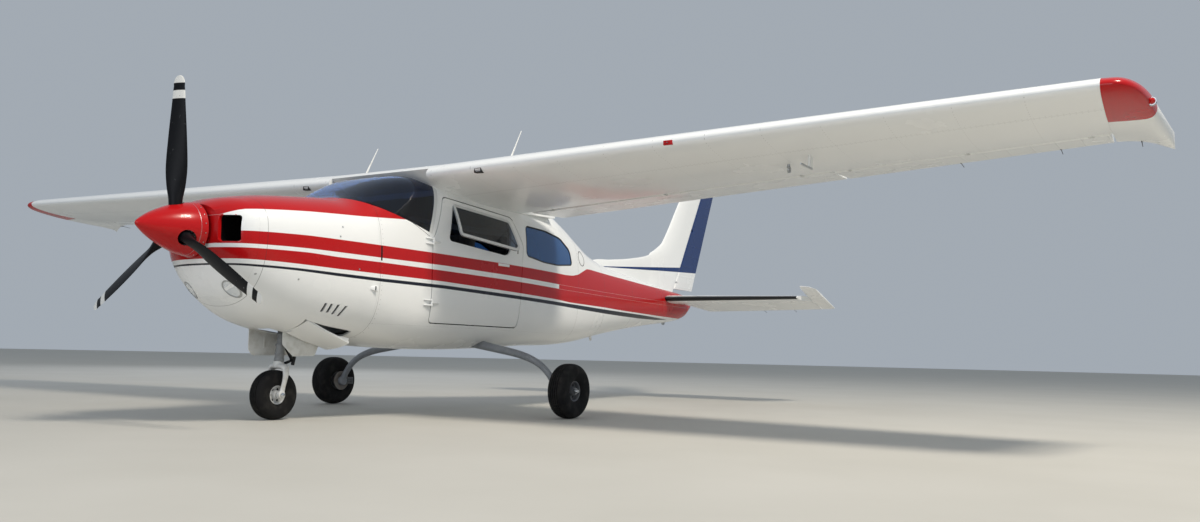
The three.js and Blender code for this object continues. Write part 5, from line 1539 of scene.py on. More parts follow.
def wheel(name, centre, half, bead, hub, hole, reach, count, bore=0.0174):
    """A split cast wheel: flanges, hub and a web with lightening holes and bolts."""
    edge = bead + 0.0006
    corners = (
        (-half * 0.7, bore), (-half * 0.7, hub), (-half * 0.26, hub + 0.004),
        (-half * 0.26, edge - 0.01), (-half * 0.66, edge - 0.007), (-half * 0.7, edge + 0.008),
        (-half * 0.63, edge + 0.009), (-half * 0.6, edge), (half * 0.6, edge),
        (half * 0.63, edge + 0.009), (half * 0.7, edge + 0.008), (half * 0.66, edge - 0.007),
        (half * 0.26, edge - 0.01), (half * 0.26, hub + 0.004), (half * 0.7, hub),
        (half * 0.7, bore),
    )
    piece = ring(name, centre, corners)
    bolts = []
    for step in range(count):
        turn = 2 * math.pi * step / count
        out = Vector((0, math.cos(turn), math.sin(turn))) * reach
        across = Vector((half, 0, 0))
        cut(piece, tube("hole", centre + out - across, centre + out + across, hole, 24, 0))
        turn += math.pi / count
        out = Vector((0, math.cos(turn), math.sin(turn))) * reach
        across = Vector((half * 0.26 + 0.005, 0, 0))
        bolts.append(tube("bolt", centre + out - across, centre + out + across, 0.0042, 6, 0.0005))
    return joined(name, piece, *bolts)


def wheel_shade_disc(name, centre, half, bead, hub):
    """A matt black disc inside a wheel that shows through the lightening holes, as painted shade
    for the wheel's dark inside.
    """
    edge = bead - 0.0105
    return ring(name, centre, (
        (-half * 0.2, hub + 0.0045), (-half * 0.2, edge), (half * 0.2, edge),
        (half * 0.2, hub + 0.0045),
    ), 0.001)


# tyre rubber: black and dull, dusty in patches
rubber = new_material("black_tyre_rubber", "#0e0e10", 0.8, Specular_IOR_Level=0.3)
place = node(rubber, "TexCoord")["Object"]
dust = node(rubber, "TexNoise", Vector=place, Scale=14.0, Detail=7.0)["Fac"]
dirt = node(rubber, "MapRange", Value=dust, From_Min=0.48, From_Max=0.85, To_Max=0.5)["Result"]
color = node(rubber, "Mix RGBA", Factor=dirt, A=linear("#0b0b0d"), B=linear("#45423d"))["Result"]
feed(rubber, color, "Base Color")
# moulding texture of 1 mm, drawn at 4 mm
pores = node(rubber, "TexNoise", Vector=place, Scale=250.0, Detail=2.0)["Fac"]
feed(rubber, node(rubber, "Bump", Height=pores, Strength=0.25, Distance=0.0008)["Normal"], "Normal")


def coated(name, color, worn, roughness=0.4):
    """Paint on a casting or tube, chipped and dusty in places."""
    material = new_material(name, color, roughness)
    place = node(material, "TexCoord")["Object"]
    cloud = node(material, "TexNoise", Vector=place, Scale=22.0, Detail=7.0)["Fac"]
    share = node(
        material, "MapRange", Value=cloud, From_Min=0.45, From_Max=0.78, To_Max=0.7,
    )["Result"]
    shade = node(material, "Mix RGBA", Factor=share, A=linear(color), B=linear(worn))["Result"]
    feed(material, shade, "Base Color")
    fine = node(material, "TexNoise", Vector=place, Scale=150.0, Detail=3.0)["Fac"]
    bump = node(material, "Bump", Height=fine, Strength=0.12, Distance=0.001)["Normal"]
    feed(material, bump, "Normal")
    return material


# the legs' grey is their enamel, painted darker for the shade that lies on them
leg_paint_and_shade = coated("grey_enamel_leg_and_painted_shade", "#83878c", "#6b6e72", 0.4)
wheel_paint = coated("grey_wheel_enamel", "#66686c", "#4d4e51", 0.45)
light_wheel_paint = coated("light_grey_wheel_enamel", "#cfd1d2", "#a3a19a", 0.4)
brake_steel = coated("rusted_brake_steel", "#77736e", "#5b4a3d", 0.42)
leg = bent_tube("main_leg_tube_left", LEG, ((0.0, MAIN_AFT), (1.0, MAIN_AFT)), 48, 32)
cut(leg, skin("body_cut", 2.4, 3.5, inset=-JOINT))
centre = at(MAIN_X, MAIN_AFT, MAIN_RADIUS)
forging = ring("forging", centre, (
    (-0.145, 0.0), (-0.145, 0.036), (-0.138, 0.042), (-0.104, 0.042), (-0.1, 0.03), (-0.1, 0.0),
), 0.0)
axle = ring("axle", centre, (
    (-0.11, 0.0), (-0.11, 0.017), (0.08, 0.017), (0.088, 0.012), (0.088, 0.0),
), 0.0)
leg = joined("main_leg_tube_left", leg, forging)
caliper = soft_block((1.206, 1.236), (3.01, 3.098), (0.19, 0.254), 0.006)
bridge = soft_block((1.226, 1.2535), (3.0705, 3.098), (0.196, 0.248), 0.004)
pistons = [
    tube("piston", at(1.192, 3.032 + 0.036 * i, 0.222), at(1.24, 3.032 + 0.036 * i, 0.222), 0.014)
    for i in range(2)
]
caliper = joined("main_brake_caliper_left", caliper, bridge, *pistons)
disc = ring("main_brake_disc_left", centre, (
    (-0.1085, 0.046), (-0.1085, 0.088), (-0.1, 0.088), (-0.1, 0.054), (-0.056, 0.054),
    (-0.056, 0.046),
), 0.001)
nut = ring("nut", centre, ((0.058, 0.0175), (0.058, 0.025), (0.07, 0.025), (0.07, 0.0175)), 0, 6)
axle = joined("main_axle_left", axle, nut)
pipe = bent_tube("main_brake_pipe_left", tuple(
    (t, x, z + 0.004, 0.0042) for t, x, z, _ in LEG
), ((0.0, MAIN_AFT + 0.046), (0.5, MAIN_AFT + 0.04), (1.0, MAIN_AFT + 0.03)), 48, 10)
cut(pipe, skin("body_cut", 2.4, 3.5, inset=-JOINT))
rim = wheel("main_wheel_rim_left", centre, MAIN_HALF, MAIN_BEAD, 0.034, 0.0125, 0.053, 6)
cover = tyre("main_wheel_tyre_left", centre, MAIN_RADIUS, MAIN_HALF, MAIN_BEAD)
# the matt black core is painted shade inside the wheel
core = wheel_shade_disc("main_wheel_core_left", centre, MAIN_HALF, MAIN_BEAD, 0.034)
pair(leg, leg_paint_and_shade, "main_leg")
pair(axle, bare_metal)
pair(caliper, cast_metal)
pair(pipe, matt_black)
pair(disc, brake_steel, body="main_wheel")
pair(rim, wheel_paint, "main_rim", body="main_wheel")
pair(core, matt_black, body="main_wheel")
pair(cover, rubber, "main_tyre", body="main_wheel")

# Nose gear. An air and oil strut hung by a pin between two arms of the firewall; its chromed
# piston carries a one-piece forged fork, white, with the torque links and shimmy damper aft.
NOSE_AFT, NOSE_RADIUS, NOSE_HALF, NOSE_BEAD = 1.14, 0.18, 0.064, 0.066
STEER_FOOT, STEER_SLOPE = 1.152, math.tan(math.radians(6.0))


def steer_at(z):
    """The point of the steering axis at a height."""
    return at(0, STEER_FOOT + (z - NOSE_RADIUS) * STEER_SLOPE, z)


strut_paint = coated("grey_strut_enamel", "#85888a", "#5f6062", 0.42)
rings = []
for low, high, radius in (
    (0.425, 0.77, 0.0325), (0.4225, 0.447, 0.0365), (0.468, 0.48, 0.036), (0.53, 0.545, 0.038),
    (0.575, 0.583, 0.036), (0.61, 0.626, 0.038), (0.69, 0.75, 0.04),
):
    piece = tube("strut", steer_at(low), steer_at(high), radius, 40, 0.002)
    if low < 0.54:
        cut(piece, tube("piston_bore", steer_at(0.41), steer_at(0.545), 0.0254, 40, 0))
    rings.append(piece)
trunnion = steer_at(0.73)
rings.append(tube(
    "trunnion_pin", trunnion - Vector((0.078, 0, 0)), trunnion + Vector((0.078, 0, 0)), 0.012,
))
strut = joined("nose_strut_tube", *rings)
done(strut, strut_paint, "nose_strut")
# chrome plate: a mirror with faint smears
chrome = new_material("polished_chrome_plate", "#d9dcdf", 0.08, 1.0)
place = node(chrome, "TexCoord")["Object"]
smear = node(chrome, "TexNoise", Vector=place, Scale=30.0, Detail=5.0)["Fac"]
feed(chrome, node(chrome, "MapRange", Value=smear, To_Min=0.04, To_Max=0.2)["Result"], "Roughness")
piston = tube("nose_piston", steer_at(0.38), steer_at(0.535), 0.0248, 40, 0.001)
axle = tube("axle", at(-0.104, NOSE_AFT, NOSE_RADIUS), at(0.104, NOSE_AFT, NOSE_RADIUS), 0.017, 32)
done(joined("nose_piston_and_axle", piston, axle), chrome, body="nose_fork")
fork_paint = coated("white_enamel_fork", "#d5d6d4", "#a7a39a", 0.38)
# fork arm: share down the arm, X, height, radius; and the station of its middle
ARM = (
    (0.0, 0.0, 0.389, 0.021), (0.16, 0.034, 0.388, 0.022), (0.3, 0.066, 0.378, 0.021),
    (0.42, 0.08, 0.35, 0.017), (0.6, 0.081, 0.29, 0.0135), (0.8, 0.08, 0.235, 0.0125),
    (0.93, 0.08, 0.195, 0.014), (1.0, 0.08, 0.176, 0.012),
)
ARM_AFT = ((0.0, 1.174), (0.3, 1.178), (0.5, 1.176), (0.75, 1.16), (1.0, 1.141))
arm = bent_tube("arm", ARM, ARM_AFT, 48, 28, flat=1.55)
end = ring("end", at(0.08, NOSE_AFT, NOSE_RADIUS), (
    (-0.0145, 0.0174), (-0.0145, 0.026), (-0.012, 0.029), (0.012, 0.029), (0.0145, 0.026),
    (0.0145, 0.0174),
), 0.0, 40)
collar = tube("nose_fork_forging", steer_at(0.372), steer_at(0.42), 0.037, 48, 0.004)
left_arm = joined("left_arm", arm, end)
right_arm = mirrored(left_arm, "right_arm")
done(
    joined("nose_fork_forging", collar, left_arm, right_arm), fork_paint, "nose_fork",
    body="nose_fork",
)
links = []
for side in (1, -1):
    links.append(tube("link", at(side * 0.02, 1.205, 0.398), at(side * 0.008, 1.3, 0.43), 0.0065))
    links.append(tube("link", at(side * 0.008, 1.3, 0.43), at(side * 0.014, 1.243, 0.52), 0.0065))
links.append(tube("knee", at(-0.02, 1.3, 0.43), at(0.02, 1.3, 0.43), 0.009, 20))
links.append(tube("damper", at(0.0, 1.305, 0.395), at(0.0, 1.32, 0.458), 0.013, 28, 0.003))
done(joined("nose_torque_links", *links), matt_black, body="nose_fork")
centre = at(0, NOSE_AFT, NOSE_RADIUS)
done(
    wheel("nose_wheel_rim", centre, NOSE_HALF, NOSE_BEAD, 0.03, 0.0105, 0.0445, 6),
    light_wheel_paint, "nose_rim", body="nose_wheel",
)
done(
    wheel_shade_disc("nose_wheel_core", centre, NOSE_HALF, NOSE_BEAD, 0.03), matt_black,
    body="nose_wheel",
)
done(
    tyre("nose_wheel_tyre", centre, NOSE_RADIUS, NOSE_HALF, NOSE_BEAD), rubber, "nose_tyre",
    body="nose_wheel",
)

# Nose gear doors. Two pressed sheet doors hang open beside the well, each stiffened by three
# raised ribs on its inner side.
# the left door starts further aft, so that the strut shows ahead of it
DOOR_OUTLINES = {
    "left": ((1.1, 0.7), (1.44, 0.7), (1.44, 0.55), (1.4, 0.465), (1.2, 0.46), (1.1, 0.545)),
    "right": ((1.0, 0.7), (1.44, 0.7), (1.44, 0.54), (1.38, 0.465), (1.04, 0.46), (1.0, 0.5)),
}
door_paint = coated("light_enamel_gear_door", "#d9dad7", "#b9b7af", 0.38)
for side, name in SIDES:
    outline = DOOR_OUTLINES[name]
    panel = plate(outline, sorted((side * 0.118, side * 0.124)), 0.012, 4)
    cut(panel, skin("body_cut", 0.8, 1.7, inset=-JOINT))
    modified(panel, "BEVEL", width=0.0015, segments=2, limit_method="ANGLE", angle_limit=1.0)
    ribs = []
    for low, high in ((1.13, 1.15), (1.23, 1.25), (1.34, 1.36)):
        ribs.append(soft_block(
            sorted((side * 0.114, side * 0.1178)), (low, high), (0.52, 0.6), 0.0015, 2,
        ))
    done(
        joined(f"nose_gear_door_{name}", panel, *ribs), door_paint,
        f"nose_door_{name}",
    )

# Instrument panel. A moulded black panel across the cabin under a lip that shades it, with rows
# of round dials, a radio stack in the middle and a control wheel for each front seat.
panel_plastic = new_material("black_grained_abs", "#1c1d1f", 0.6)
# grain of about 2 mm, drawn at 6 mm
grain = mottled(panel_plastic, "#232427", "#141517", "TexVoronoi", "Distance", Scale=160.0)
bump = node(panel_plastic, "Bump", Height=grain, Strength=0.35, Distance=0.001)["Normal"]
feed(panel_plastic, bump, "Normal")
PANEL = (
    (1.7, 1.5), (1.85, 1.5), (1.88, 1.18), (1.85, 1.17), (1.78, 1.44), (1.7, 1.46),
)
panel = plate(PANEL, (-FAR, FAR))
cut(panel, skin("cabin_room", 1.6, 2.1, inset=CABIN_WALL + JOINT), keep="INTERSECT")
modified(panel, "BEVEL", width=0.008, segments=4, limit_method="ANGLE", angle_limit=0.7)
done(panel, panel_plastic, "instrument_panel")
# printed faces: black, with a ring of white ticks on each dial
dial_face = new_material("printed_dial_faces", "#0b0b0c", 0.35)
place = node(dial_face, "TexCoord")["Object"]
parts = node(dial_face, "SeparateXYZ", Vector=place)
DIAL_PITCH = 0.094  # dials stand this far apart, and their scales are drawn round each
DIAL_FOOT = 1.215
u = node(dial_face, "Math ADD", parts["X"], 10 * DIAL_PITCH)[0]
v = node(dial_face, "Math SUBTRACT", parts["Z"], DIAL_FOOT)[0]
u, v = [node(dial_face, "Math FLOORED_MODULO", run, DIAL_PITCH)[0] for run in (u, v)]
u, v = [node(dial_face, "Math SUBTRACT", run, DIAL_PITCH / 2)[0] for run in (u, v)]
far_out = radius_of(dial_face, u, v)
spoke = node(dial_face, "Math PINGPONG", node(dial_face, "Math ARCTAN2", v, u)[0], math.pi / 20)[0]
ticks = all_of(
    dial_face, over(dial_face, 0.012, spoke), over(dial_face, far_out, 0.03),
    over(dial_face, 0.037, far_out),
)
color = node(
    dial_face, "Mix RGBA", Factor=ticks, A=linear("#0b0b0c"), B=linear("#e9e9e4"),
)["Result"]
feed(dial_face, color, "Base Color")


def panel_spot(x, z, proud=0.0):
    """A point on the panel's aft face, or proud of it."""
    return at(x, 1.85 + 0.03 * (1.5 - z) / 0.32 + proud, z)


faces, bezels = [], []
for row in range(3):
    for column in range(-5, 5):
        x, z = (column + 0.5) * DIAL_PITCH, DIAL_FOOT + (row + 0.5) * DIAL_PITCH
        if abs(x) < 0.1 or (column < -4 and row == 2):
            continue
        faces.append(tube(
            "dial", panel_spot(x, z), panel_spot(x, z, 0.004), 0.039, 40, 0.0005,
        ))
        bezel = tube("bezel", panel_spot(x, z), panel_spot(x, z, 0.008), 0.044, 40, 0.0015)
        cut(bezel, tube("bore", panel_spot(x, z, -0.01), panel_spot(x, z, 0.02), 0.0385, 40, 0))
        bezels.append(bezel)
done(joined("dial_faces", *faces), dial_face)
radios = []
for count in range(6):
    z = 1.225 + 0.044 * count
    radio = soft_block(
        (-0.088, 0.088), (1.83, 1.8875 - 0.0038 * count), (z, z + 0.04), 0.003,
    )
    radios.append(radio)
    for x in (-0.072, 0.072):
        radios.append(tube(
            "knob", at(x, 1.87, z + 0.02), at(x, 1.905 - 0.0038 * count, z + 0.02), 0.009, 20,
        ))
done(joined("radio_stack", *radios), matt_black)
done(joined("dial_bezels", *bezels), matt_black)


def grip_rows(x):
    """The half ring of one control wheel, from the left horn round the bottom to the right."""
    rows = []
    for count in range(13):
        turn = math.radians(158 + 224 * count / 12)
        rows.append((
            count / 12, x + 0.145 * math.cos(turn), 1.275 + 0.105 * math.sin(turn),
            0.0125 + 0.004 * abs(count - 6) / 6,
        ))
    return tuple(rows)


for x, name in ((0.245, "left"), (-0.245, "right")):
    horn = bent_tube(
        f"control_wheel_{name}", grip_rows(x), ((0.0, 1.985), (0.5, 1.975), (1.0, 1.985)),
    )
    spoke_bar = soft_block((x - 0.125, x + 0.125), (1.962, 1.986), (1.255, 1.293), 0.009)
    done(joined(f"control_wheel_{name}", horn, spoke_bar), panel_plastic)
    done(
        tube(f"control_shaft_{name}", at(x, 1.86, 1.274), at(x, 1.963, 1.274), 0.013), bare_metal,
    )

# Floor, bulkhead and firewall. Cut-pile carpet over the sheet floor, lining over the bulkhead
# and a stainless firewall; their solids have the real form and take the finish.
carpet = woven("charcoal_cut_pile_carpet", "#3a3c40", "#25262a", 0.006)
# stainless sheet: grey metal with a cloudy mill finish
steel_sheet = new_material("stainless_firewall_sheet", "#9a9c9e", 0.36, 1.0)
mottled(steel_sheet, "#77797b", "#a9abad", Scale=12.0, Detail=6.0)
painted(carpet, "cabin_floor")
painted(lining_cloth, "aft_bulkhead")
painted(steel_sheet, "firewall")

# Seats. Six places: foam cushions and backs in grey wool cloth, sewn in pleats, on steel frames
# that run on floor rails; one cushion and one back are blown up and copied to every place.
# name, X, front edge, half width, depth, height of the cushion and of the back
SEATS = (
    ("seat_front_left", 0.245, 2.33, 0.195, 0.48, 1.04, 1.56),
    ("seat_front_right", -0.245, 2.33, 0.195, 0.48, 1.04, 1.56),
    ("seat_middle_left", 0.24, 3.08, 0.19, 0.44, 1.0, 1.5),
    ("seat_middle_right", -0.24, 3.08, 0.19, 0.44, 1.0, 1.5),
    ("seat_rear", 0.0, 3.7, 0.38, 0.4, 0.96, 1.4),
)
seat_cloth = woven("grey_wool_seat_cloth", "#6a6862", "#4b4a46", 0.004)
PAD_WIDTH, PAD_DEPTH, PAD_THICK = 0.37, 0.44, 0.095
BACK_TALL, BACK_THICK = 0.47, 0.075
PLEAT, SWELL, VOXEL = 0.062, 0.009, 0.009  # space between pleats, swelling, mesh


def pad(name, width, deep, thick):
    """A foam pad under cloth: a rounded block blown up, then pressed in along its seams."""
    bpy.ops.object.select_all(action="DESELECT")
    bpy.ops.mesh.primitive_cube_add(size=1)
    piece = bpy.context.object
    piece.name = name
    for vertex in piece.data.vertices:
        vertex.co = Vector((vertex.co.x * width, vertex.co.y * deep, vertex.co.z * thick))
    modified(piece, "BEVEL", width=thick * 0.36, segments=4, limit_method="ANGLE")
    modified(piece, "REMESH", mode="VOXEL", voxel_size=VOXEL)
    before = [vertex.co.copy() for vertex in piece.data.vertices]
    active(piece)
    bpy.ops.object.modifier_add(type="CLOTH")
    cloth = piece.modifiers[-1]
    cloth.settings.use_pressure = True
    cloth.settings.uniform_pressure_force = 4.0
    cloth.settings.effector_weights.gravity = 0.0
    cloth.point_cache.frame_start, cloth.point_cache.frame_end = 1, 20
    for moment in range(1, 21):
        bpy.context.scene.frame_set(moment)
    bpy.ops.object.modifier_apply(modifier=cloth.name)
    bpy.context.scene.frame_set(1)
    for vertex, start in zip(piece.data.vertices, before):
        moved = vertex.co - start
        if moved.length > SWELL:
            vertex.co = start + moved.normalized() * SWELL
    # pleats run from front to back; the seams between them are pressed in by 5 mm
    for vertex in piece.data.vertices:
        across = (vertex.co.x + 10.5 * PLEAT) % PLEAT - PLEAT / 2
        inside = abs(vertex.co.x) < width / 2 - 0.05
        deep_in = 0.005 * math.exp(-(across / 0.006) ** 2) if inside else 0.0
        border = abs(abs(vertex.co.x) - (width / 2 - 0.048))
        deep_in = max(deep_in, 0.006 * math.exp(-(border / 0.005) ** 2))
        if vertex.co.z > 0:
            vertex.co.z -= deep_in
    modified(piece, "SMOOTH", factor=0.4, iterations=2)
    return piece


cushion_form = pad("cushion", PAD_WIDTH - 0.02, PAD_DEPTH - 0.02, PAD_THICK - 0.018)
back_form = pad("back", PAD_WIDTH - 0.03, BACK_TALL - 0.02, BACK_THICK - 0.016)
frame_paint = coated("black_powder_coat_seat_frame", "#222326", "#3c3d3f", 0.45)
for name, middle, front, half, deep, cushion_z, back_z in SEATS:
    rear = front + deep
    places = (-0.19, 0.19) if half > 0.3 else (0.0,)
    pads, metal = [], []
    for shift in places:
        x = middle + shift
        cushion = copied(cushion_form, f"{name}_cushion")
        tilt = Matrix.Rotation(math.radians(4), 4, "X")
        spot = Matrix.Translation(
            at(x, front + deep / 2 - 0.015, cushion_z - PAD_THICK / 2 - 0.006),
        )
        grow = Matrix.Diagonal((1.0, (deep - 0.04) / PAD_DEPTH, 1.0, 1.0))
        cushion.data.transform(spot @ grow @ tilt)
        pads.append(cushion)
        back = copied(back_form, f"{name}_back")
        tall = back_z - cushion_z
        grow = Matrix.Diagonal((1.0, (tall - 0.01) / BACK_TALL, 1.0, 1.0))
        lean = Matrix.Rotation(math.radians(90 - 11), 4, "X")
        spot = Matrix.Translation(at(x, rear + 0.032, (back_z + cushion_z) / 2 + 0.004))
        back.data.transform(spot @ lean @ grow)
        pads.append(back)
        for side in (-0.15, 0.15):
            for leg_aft in (front + 0.11, rear - 0.03):
                metal.append(tube(
                    "leg", at(x + side, leg_aft, 0.745), at(x + side, leg_aft, cushion_z - 0.1),
                    0.011,
                ))
            metal.append(soft_block(
                (x + side - 0.012, x + side + 0.012), (front + 0.09, rear - 0.01), (0.7424, 0.757),
                0.003,
            ))
        metal.append(soft_block(
            (x - 0.17, x + 0.17), (front + 0.02, rear + 0.01),
            (cushion_z - 0.109, cushion_z - 0.097), 0.004,
        ))
        for stay_x in (x - 0.14, x + 0.14):
            metal.append(tube(
                "stay", at(stay_x, rear + 0.02, cushion_z - 0.08),
                at(stay_x, rear + 0.085, back_z - 0.12), 0.01,
            ))
    for piece in pads:
        modified(piece, "SUBSURF", levels=1, render_levels=1)
        done(piece, seat_cloth, name, angle=60)
    done(joined(f"{name}_frame", *metal), frame_paint)
for form in (cushion_form, back_form):
    bpy.data.meshes.remove(form.data)

# Radio whips. Two white fibreglass blades that taper and lean aft over the cabin roof, each in a
# moulded foot held by four screws.
WHIP_X, WHIP_FOOT, WHIP_TIP = 0.83, (2.75, 2.045), (2.94, 2.4)


def whip_point(along, around):
    turn = -2 * math.pi * around
    chord, thick = 0.03 - 0.022 * along, 0.009 - 0.0055 * along
    station = WHIP_FOOT[0] + (WHIP_TIP[0] - WHIP_FOOT[0]) * along
    return at(
        WHIP_X + thick / 2 * math.sin(turn), station + chord / 2 * math.cos(turn),
        WHIP_FOOT[1] + (WHIP_TIP[1] - 0.0005 - WHIP_FOOT[1]) * along,
    )


whip = edited(surface("whip", 20, 24, whip_point), weld, cap, outwards)
whip_foot = soft_block((WHIP_X - 0.0195, WHIP_X + 0.0195), (2.706, 2.794), (2.03, 2.0675), 0.007, 4)
whip_paint = coated("white_fibreglass_aerial", "#e4e5e3", "#b9b7b0", 0.4)
screws = [
    tube("screw", at(WHIP_X + x, 2.75 + aft, 2.06), at(WHIP_X + x, 2.75 + aft, 2.069), 0.0035, 12)
    for x in (-0.012, 0.012) for aft in (-0.034, 0.034)
]
whip = joined("aerial_whip_left", whip, whip_foot)
screws = joined("aerial_screws_left", *screws)
pair(screws, bare_metal)
pair(whip, whip_paint, "aerial")

# Pitot tube. A heated aluminium probe on a white mast under the left wing, pointing ahead.
probe = lathe("probe", at(3.5, 2.4205, 1.806), (
    (0.0, 0.0032), (0.0, 0.0052), (0.014, 0.0068), (0.05, 0.0078), (0.2, 0.0086), (0.214, 0.007),
    (0.216, 0.0032),
), 32)
probe_mast = soft_block((3.494, 3.506), (2.572, 2.632), (1.807, 1.94), 0.003)
done(probe, bare_metal, "pitot_tube")
probe_mast.name = "pitot_mast"
done(probe_mast, wing_paint)

# Leading edge of the wings. Rubber-edged cabin air inlets by the roots, a stall sensor with its
# tab on the left, and under the tips a lamp each: red on the left, green on the right.
for x, name in ((1.05, "left"), (-0.83, "right")):
    edge = wing_edge(abs(x))
    lead, z = edge["lead"], edge["lead_z"] - 0.02
    mouth = soft_block(
        (x - 0.034, x + 0.034), (lead + 0.0005, lead + 0.05), (z - 0.02, z + 0.016), 0.004,
    )
    mouth.name = f"wing_air_inlet_{name}"
    cut(mouth, block((x - 0.028, x + 0.028), (lead - 0.01, lead + 0.02), (z - 0.0145, z + 0.0105)))
    done(mouth, matt_black)
edge = wing_edge(2.67)
sensor = soft_block(
    (2.635, 2.705), (edge["lead"] - 0.0015, edge["lead"] + 0.03),
    (edge["lead_z"] - 0.02, edge["lead_z"] + 0.012), 0.003,
)
sensor.name = "stall_sensor_plate"
tab = soft_block(
    (2.664, 2.676), (edge["lead"] - 0.018, edge["lead"] + 0.002),
    (edge["lead_z"] - 0.006, edge["lead_z"] - 0.004), 0.0008, 2,
)
tab.name = "stall_sensor_tab"
done(sensor, tip_paint)
done(tab, bare_metal)


def ribbed(material, scale, strength, deep):
    """Fine ribs moulded into a lens, which spread its light."""
    place = node(material, "TexCoord")["Object"]
    ribs = node(material, "TexWave", Vector=place, Scale=scale)["Fac"]
    bump = node(material, "Bump", Height=ribs, Strength=strength, Distance=deep)["Normal"]
    feed(material, bump, "Normal")


for side, name, lens_color in ((1, "left", "#d81510"), (-1, "right", "#17a04c")):
    lens_acrylic = new_material(
        f"moulded_acrylic_lens_{name}", lens_color, 0.06, Transmission_Weight=0.35, IOR=1.49,
    )
    ribbed(lens_acrylic, 90.0, 0.3, 0.001)
    row = smooth_row(TIP, 5.51)
    spot = at(side * 5.512, row[1] - 0.03, WING_END["lead_z"] - row[3] - 0.008)
    lens = lathe(f"tip_lamp_lens_{name}", spot, (
        (0.0, 0.0005), (0.002, 0.008), (0.007, 0.0135), (0.016, 0.0175), (0.03, 0.019),
        (0.06, 0.019), (0.062, 0.0005),
    ), 40)
    done(lens, lens_acrylic)
    collar = lathe(f"tip_lamp_ring_{name}", spot, (
        (0.022, 0.0192), (0.022, 0.023), (0.026, 0.0245), (0.05, 0.0245), (0.05, 0.0192),
    ), 40)
    done(collar, bare_metal)

# Static wicks. Thin black rods with a thicker foot at the trailing edges, which bleed off charge;
# they ride on the surface that they are riveted to.
wick_sets = {"airframe": [], "aileron_left": [], "aileron_right": [], "elevator": []}
for side in (1, -1):
    for x, body in ((4.3, "aileron"), (4.95, "aileron"), (5.42, "airframe")):
        edge = wing_edge(min(x, WING_END["x"]))
        trail, z = edge["trail"], edge["trail_z"]
        if body == "airframe":
            row = smooth_row(TIP, x)
            trail, z = row[2], WING_END["trail_z"] - row[3]
        key = body if body == "airframe" else f"{body}_{'left' if side > 0 else 'right'}"
        wick_sets[key] += [
            tube("wick", at(side * x, trail - 0.012, z), at(side * x, trail + 0.1, z - 0.012),
                 0.0022, 10, 0.0004),
            tube("foot", at(side * x, trail - 0.03, z), at(side * x, trail + 0.012, z - 0.001),
                 0.0042, 12, 0.0006),
        ]


def aft_edge(piece, x):
    """The aftmost point of a piece at one X."""
    spots = []
    for edge in piece.data.edges:
        first, last = (piece.data.vertices[corner].co for corner in edge.vertices)
        if (first.x - x) * (last.x - x) < 0:
            spots.append(first.lerp(last, (x - first.x) / (last.x - first.x)))
    return max(spots, key=lambda spot: spot.y)


for x in (-1.45, -1.05, 1.05, 1.45):
    foot = aft_edge(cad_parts["elevator"], x)
    out = (foot - at(x, HINGE_AFT, HINGE_Z)).normalized()
    wick_sets["elevator"] += [
        tube("wick", foot - out * 0.012, foot + out * 0.1, 0.0022, 10, 0.0004),
        tube("foot", foot - out * 0.03, foot + out * 0.012, 0.0042, 12, 0.0006),
    ]
for body, wicks in wick_sets.items():
    done(joined(f"static_wicks_{body}", *wicks), matt_black, body=body)

# Small fittings of the body. Landing lights in the lower bowl, an air scoop ahead of the
# firewall, an oval cover behind the cabin, the seam of the windshield's fairing, screws, a drain
# mast and the tie-down tab under the tail.


def side_x(station, z):
    """The left skin's X at a station and height."""
    low, high = -math.pi / 2, math.pi / 2
    for _ in range(40):
        middle = (low + high) / 2
        if body_point(station, middle).z < z:
            low = middle
        else:
            high = middle
    return body_point(station, low).x


# lamp glass: bright and ribbed, over a reflector
lamp_glass = new_material("clear_lamp_glass", "#e9eef2", 0.03, 0.55)
ribbed(lamp_glass, 60.0, 0.25, 0.002)
for side, name in SIDES:
    spots = at(side * 0.215, 0.44, 0.905), at(side * 0.215, 0.75, 0.905)
    rim_ring = skin(f"landing_light_ring_{name}", 0.44, 0.75, 0.005, -0.003)
    cut(rim_ring, tube("outer", *spots, 0.056, 48, 0), keep="INTERSECT")
    cut(rim_ring, tube("inner", *spots, 0.047, 48, 0))
    lens = skin(f"landing_light_lens_{name}", 0.44, 0.75, 0.004, -0.001)
    cut(lens, tube("outer", *spots, 0.0466, 48, 0), keep="INTERSECT")
    done(rim_ring, bare_metal)
    done(lens, lamp_glass)

x = side_x(1.543, 0.972)
scoop = block((x - 0.012, x + 0.024), (1.512, 1.574), (0.949, 0.994))
for vertex in scoop.data.vertices:
    if vertex.co.y + HALF_LENGTH < 1.513:
        vertex.co.x = min(vertex.co.x, x - 0.001)
        vertex.co.z = 0.9715 + (vertex.co.z - 0.9715) * 0.45
modified(scoop, "BEVEL", width=0.004, segments=3, limit_method="ANGLE")
cut(scoop, block((x - 0.001, x + 0.019), (1.55, 1.58), (0.956, 0.987)))
scoop.name = "cowl_side_scoop"
done(scoop, body_paint)
# a matt black plate at the bottom of the scoop's pocket, as painted shade for its dark inside
scoop_shade_plate = soft_block((x - 0.004, x + 0.0185), (1.548, 1.5515), (0.9565, 0.9865), 0.001, 2)
scoop_shade_plate.name = "cowl_side_scoop_painted_shade"
done(scoop_shade_plate, matt_black)


def oval(station, z, half_long, half_tall, count=32):
    turns = [2 * math.pi * i / count for i in range(count)]
    return tuple((station + half_long * math.cos(t), z + half_tall * math.sin(t)) for t in turns)


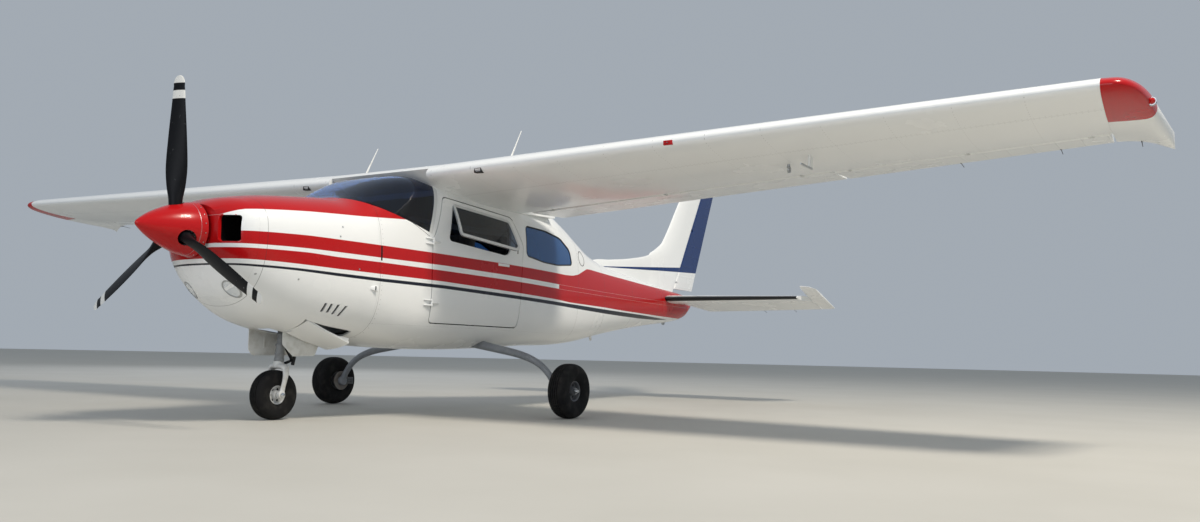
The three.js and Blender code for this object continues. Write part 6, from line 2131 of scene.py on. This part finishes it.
def trim(name, start, end, outline, finish, hole=None, proud=0.0012):
    """A thin piece on both sides of the body, cut to an outline."""
    piece = skin(name, start, end, proud + 0.001, -proud)
    cut(piece, plate(outline, (0.08, FAR)), keep="INTERSECT")
    if hole:
        cut(piece, plate(hole, (0.08, FAR)))
    piece.name = f"{name}_left"
    pair(piece, finish)


trim("oval_cover_edge", 4.45, 4.67, oval(4.558, 1.478, 0.076, 0.076), seal_rubber,
     oval(4.558, 1.478, 0.069, 0.069))
trim("windshield_fairing_seam", 1.86, 2.14, (
    (1.893, 1.5212), (2.118, 1.4202), (2.1195, 1.4227), (1.8945, 1.5237),
), seal_rubber, proud=0.0005)
for count, (station, z) in enumerate((
    (1.22, 1.318), (0.624, 1.007), (0.9, 0.99), (1.25, 1.39), (0.75, 1.405), (1.4, 1.1),
)):
    trim(f"cowl_screw_{count + 1}", station - 0.03, station + 0.03,
         oval(station, z, 0.0065, 0.0065, 14), bare_metal)
drain = plate(((5.36, 0.76), (5.43, 0.76), (5.44, 0.68), (5.41, 0.668)), (-0.004, 0.004))
modified(drain, "BEVEL", width=0.0025, segments=3, limit_method="ANGLE", angle_limit=0.7)
drain.name = "belly_drain_mast"
done(drain, whip_paint)
tab = plate(
    ((7.06, 0.948), (7.14, 0.948), (7.13, 0.915), (7.1, 0.905), (7.07, 0.915)), (-0.007, 0.007),
    0.004, 3,
)
cut(tab, tube("eye", at(-0.02, 7.1, 0.922), at(0.02, 7.1, 0.922), 0.0075, 24, 0))
modified(tab, "BEVEL", width=0.0012, segments=2, limit_method="ANGLE", angle_limit=0.9)
tab.name = "tail_tiedown_tab"
done(tab, bare_metal)

# Stay of the left vent window. A short black arm from the sill of the door to the open pane's
# lower corner.
PANE_CORNER = at(0.566, 3.13, 1.42)
lowered = Matrix.Rotation(-VENT_OPEN, 4, swing) @ (PANE_CORNER - HINGE_START) + HINGE_START
stay = tube("vent_stay_left", at(0.558, 3.185, 1.52), lowered, 0.0035, 12, 0.0006)
stay_ends = [
    soft_block((0.548, 0.566), (3.176, 3.194), (1.508, 1.532), 0.003),
    tube("knob", lowered - Vector((0.012, 0, 0)), lowered + Vector((0.006, 0, 0)), 0.009, 20),
]
done(joined("vent_stay_left", stay, *stay_ends), matt_black, body="door_left")
